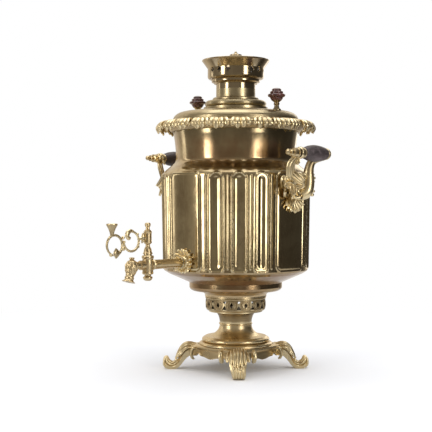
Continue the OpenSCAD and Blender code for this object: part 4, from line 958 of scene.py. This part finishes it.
def build_key_scroll():
    """Two open rings with beads, leaves and a trumpet, in the plane of the key. Places are given as the
    distance out from the key's axis and the height over the inner ring's middle."""
    part = Part()

    def at(x, z):
        return Vector((0, key_axis_y - x, ring_mid_z + z))

    def bar(points, thick, wide, n=24):
        sweep(part, smooth_path([at(x, z) for x, z in points], n), along(thick, n), along(wide, n),
              Vector((1, 0, 0)), ring=18)

    def ring(x, z, start, turn, n=60):
        """Arc from start, in degrees from the outward side and up."""
        angles = [math.radians(start + turn * i / n) for i in range(n + 1)]
        size = [1.15 + 0.6 * math.sin(math.pi * i / n) ** 0.6 for i in range(n + 1)]
        sweep(part, [at(x + ring_r * math.cos(a), z + ring_r * math.sin(a)) for a in angles], size, size,
              Vector((1, 0, 0)), ring=18)

    inner, outer, fall = 29.8, 59.6, -4.1
    ring(inner, 0, 82, 285)
    ring(outer, fall, -64, 306)
    # Curled leaf over the inner ring's open end
    bar([(inner - 4, 13), (inner + 1, 14.4), (inner + 6, 12), (inner + 7.4, 7.6), (inner + 4.6, 4.2),
         (inner + 2.4, 6)], [1.4, 1.9, 2.3, 2.1, 1.7, 1.2], [1.5, 2.4, 3.6, 3.6, 2.6, 1.6])
    # Leaf across the outer ring's open end
    bar([(outer - 2.4, fall - 4), (outer - 3, fall - 8.4), (outer - 3.4, fall - 12),
         (outer - 2.2, fall - 18)], [0.7, 1.9, 2.1, 0.8], [0.8, 4.6, 5.4, 0.8])
    bar([(outer - 13, fall - 5), (outer - 8.6, fall - 10.6), (outer - 2.6, fall - 12.6),
         (outer + 3.6, fall - 13.6)], [1.5, 1.7, 1.7, 0.8], [1.5, 2.2, 1.9, 0.8])
    # Leaf and bar at the stem
    bar([(3, 4), (inner - 20, 4.2), (inner - 14, 2.6)], [2.3, 2, 1.6], [2.6, 2.2, 1.7])
    bar([(inner - 20.6, 11), (inner - 21.4, 7.6), (inner - 21, 2.6), (inner - 19, -3)],
        [0.8, 2, 2, 0.8], [0.8, 2.7, 2.9, 0.8])
    for x, z, r in ((44.7, 5.4, 2.4), (44.4, -9.4, 2.9), (inner - 11.2, 9.6, 1.9), (inner - 12.4, -7.6, 1.8),
                    (outer + 6.2, fall - 12.8, 2.5), (inner + 13, -0.4, 2.1)):
        ball(part, at(x, z), r)
    horn = [(0, 0), (2.4, 0), (2.5, 2.6), (3.4, 6), (4.9, 10), (6.7, 13.4), (7.6, 14.6), (7.6, 16), (6.6, 17),
            (4.2, 14), (0, 11)]
    lathe(part, horn, steps=64, soft=0.5, place=Matrix.Translation(at(outer + 4.5, fall + 12)), closed=False)
    part.make("key_scroll_cast", "key", "pale_brass", "key_scroll", crease=60)


build_key_scroll()


# ---- studio ----

# The photograph's camera: distance and height in metres, focal length and the samovar's axis and the eye's
# level in the photograph's pixels
camera_distance, camera_height, camera_azimuth = 1.5, 0.2525, math.radians(42.5)
focal_px, frame_px = 1000, 432
axis_px, eye_px = 235.7, 200
sensor_mm = 36

toward = polar(1, camera_azimuth - math.pi / 2, 0)
rightward = polar(1, camera_azimuth, 0)
camera = linked("camera", bpy.data.cameras.new("camera"))
camera.data.lens = focal_px / frame_px * sensor_mm
camera.data.sensor_width = sensor_mm
camera.location = toward * camera_distance + Vector((0, 0, camera_height))
aim = Vector((0, 0, camera_height)) - rightward * (axis_px - frame_px / 2) / focal_px * camera_distance
aim.z += (eye_px - frame_px / 2) / focal_px * camera_distance
camera.rotation_mode = "QUATERNION"
camera.rotation_quaternion = (aim - camera.location).to_track_quat("-Z", "Y")
bpy.context.scene.camera = camera


def area_light(name, shape, size, power):
    lamp = bpy.data.lights.new(name, "AREA")
    lamp.shape, lamp.size, lamp.energy = shape, size, power
    return linked(name, lamp)


def softbox(name, azimuth, distance, low, high, width, radiance):
    """Upright panel that faces the object: azimuth in degrees as the camera's, sizes in metres."""
    obj = area_light(name, "RECTANGLE", width, radiance * math.pi * width * (high - low))
    obj.data.size_y = high - low
    obj.data.color = (1, 0.97, 0.92)
    away = polar(1, math.radians(azimuth - 90), 0)
    obj.location = away * distance + Vector((0, 0, (low + high) / 2))
    obj.rotation_mode = "QUATERNION"
    obj.rotation_quaternion = (-away).to_track_quat("-Z", "Y")


softbox("strip_left", -10.5, 2.0, 0.02, 1.15, 0.42, 6.4)
softbox("strip_right", 83.5, 2.0, 0.02, 1.15, 0.5, 6.0)
softbox("strip_back_left", 200, 2.1, 0.04, 1.6, 0.5, 1.4)
softbox("strip_back_right", 290, 2.1, 0.04, 1.6, 0.35, 1.4)
overhead_r, overhead_radiance = 1.2, 1.5
overhead_power = overhead_radiance * math.pi * math.pi * overhead_r ** 2
overhead = area_light("overhead", "DISK", 2 * overhead_r, overhead_power)
overhead.location = (0, 0, 2.4)


def seen_directly(n):
    """1 to the camera, in polished metal and through glass; 0 to rays that only bring light."""
    path = n.new("LightPath")
    seen = n.math("MAXIMUM", path.outputs["Is Camera Ray"], path.outputs["Is Glossy Ray"])
    return n.math("MAXIMUM", seen, path.outputs["Is Transmission Ray"])


def build_world():
    """Plain white where it is seen, and a little dimmer and cooler as a light."""
    world = bpy.data.worlds.new("studio")
    bpy.context.scene.world = world
    n = Nodes(world, "OutputWorld")
    skies = []
    for colour, strength in (((0.93, 0.95, 1, 1), 0.75), ((1, 1, 1, 1), 1.0)):
        skies.append(n.new("Background", {"Color": colour, "Strength": strength}).outputs[0])
    n.feed(n.out.inputs[0], n.shaders(seen_directly(n), *skies))


build_world()


def stage_mesh(name, verts, faces, material):
    mesh = bpy.data.meshes.new(name)
    mesh.from_pydata(verts, [], faces)
    mesh.shade_smooth()
    mesh.materials.append(material)
    obj = linked(name, mesh)
    return obj


def floor_material():
    """Pale floor that keeps the shadow near the object and runs out to the white background."""
    mat = bpy.data.materials.new("pale_floor")
    n = Nodes(mat)
    shade = n.blend(n.new("LightPath").outputs["Is Camera Ray"], (0.66, 0.66, 0.66), (0.97, 0.97, 0.97))
    diffuse = n.new("BsdfDiffuse", {"Color": shade})
    far = n.level(n.vector("LENGTH", n.place()), 0.22, 0.9, kind="SMOOTHSTEP")
    white = n.math("MULTIPLY", seen_directly(n), far)
    n.feed(n.out.inputs[0], n.shaders(white, diffuse.outputs[0], n.new("Emission").outputs[0]))
    return mat


stage_steps = 96


def ring_points(r, z):
    return [polar(r, 2 * math.pi * j / stage_steps, z) for j in range(stage_steps)]


def flat_ring(r0, r1, steps):
    """Flat ring of the floor from radius r0 to r1, in metres, facing up."""
    points = [p for k in range(steps + 1) for p in ring_points(mix(r0, r1, k / steps), 0)]
    return points, [tuple(reversed(f)) for f in grid_faces(steps + 1, stage_steps)]


floor_r, far_r = 0.6, 8
floor_points, floor_faces = flat_ring(0.02, floor_r, 6)
near_floor = stage_mesh("floor", floor_points, floor_faces + [tuple(range(stage_steps))], floor_material())
far_floor = stage_mesh("far_floor", *flat_ring(floor_r, far_r, 8), near_floor.data.materials[0])
far_floor.visible_glossy = False
far_floor.visible_diffuse = False

# Brightness of the walls round the room, by share of a turn from the side behind the left handle
WALL_TONES = ((0.0, 0.7), (0.05, 0.35), (0.1, 0.22), (0.17, 0.26), (0.2, 0.42), (0.25, 0.14), (0.3, 0.2),
              (0.42, 0.2), (0.44, 0.12), (0.47, 0.2), (0.52, 0.035), (0.72, 0.03), (0.78, 0.3), (0.84, 0.8),
              (1.0, 0.8))
# And by share of their height
WALL_HEIGHTS = ((0.0, 0.03), (0.3, 0.035), (0.5, 0.08), (1.0, 0.3))
# The walls' own outline, as (height, radius) in metres
WALL_LINE = ((-1.6, 0.05), (-1.5, 2.0), (0.0, 2.6), (1.2, 2.6), (2.2, 2.5), (2.8, 2.0), (3.0, 1.4))


def room_material():
    """What the polished metal sees round the studio: dark walls that lighten towards the ceiling."""
    mat = bpy.data.materials.new("studio_walls")
    n = Nodes(mat)
    x, y, z = n.split()
    up = n.level(z, 0, WALL_LINE[-1][0])
    by_height = n.ramp(up, *[(at, (v, v * 0.97, v * 0.93)) for at, v in WALL_HEIGHTS])
    turn = n.level(n.math("ARCTAN2", y, x, clamp=False), -math.pi, math.pi)
    by_side = n.ramp(turn, *[(at, (v, v * 0.9, v * 0.76)) for at, v in WALL_TONES])
    glow = n.new("Emission", {"Color": n.blend(1.0, by_height, by_side, kind="ADD")})
    n.feed(n.out.inputs[0], glow.outputs[0])
    mat.cycles.emission_sampling = "NONE"
    return mat


walls = [p for z, r in WALL_LINE for p in ring_points(r, z)]
room = stage_mesh("studio_walls", walls, grid_faces(len(WALL_LINE), stage_steps), room_material())
for ray in ("camera", "diffuse", "shadow", "transmission"):
    setattr(room, "visible_" + ray, False)

bpy.context.scene.view_settings.view_transform = "Standard"
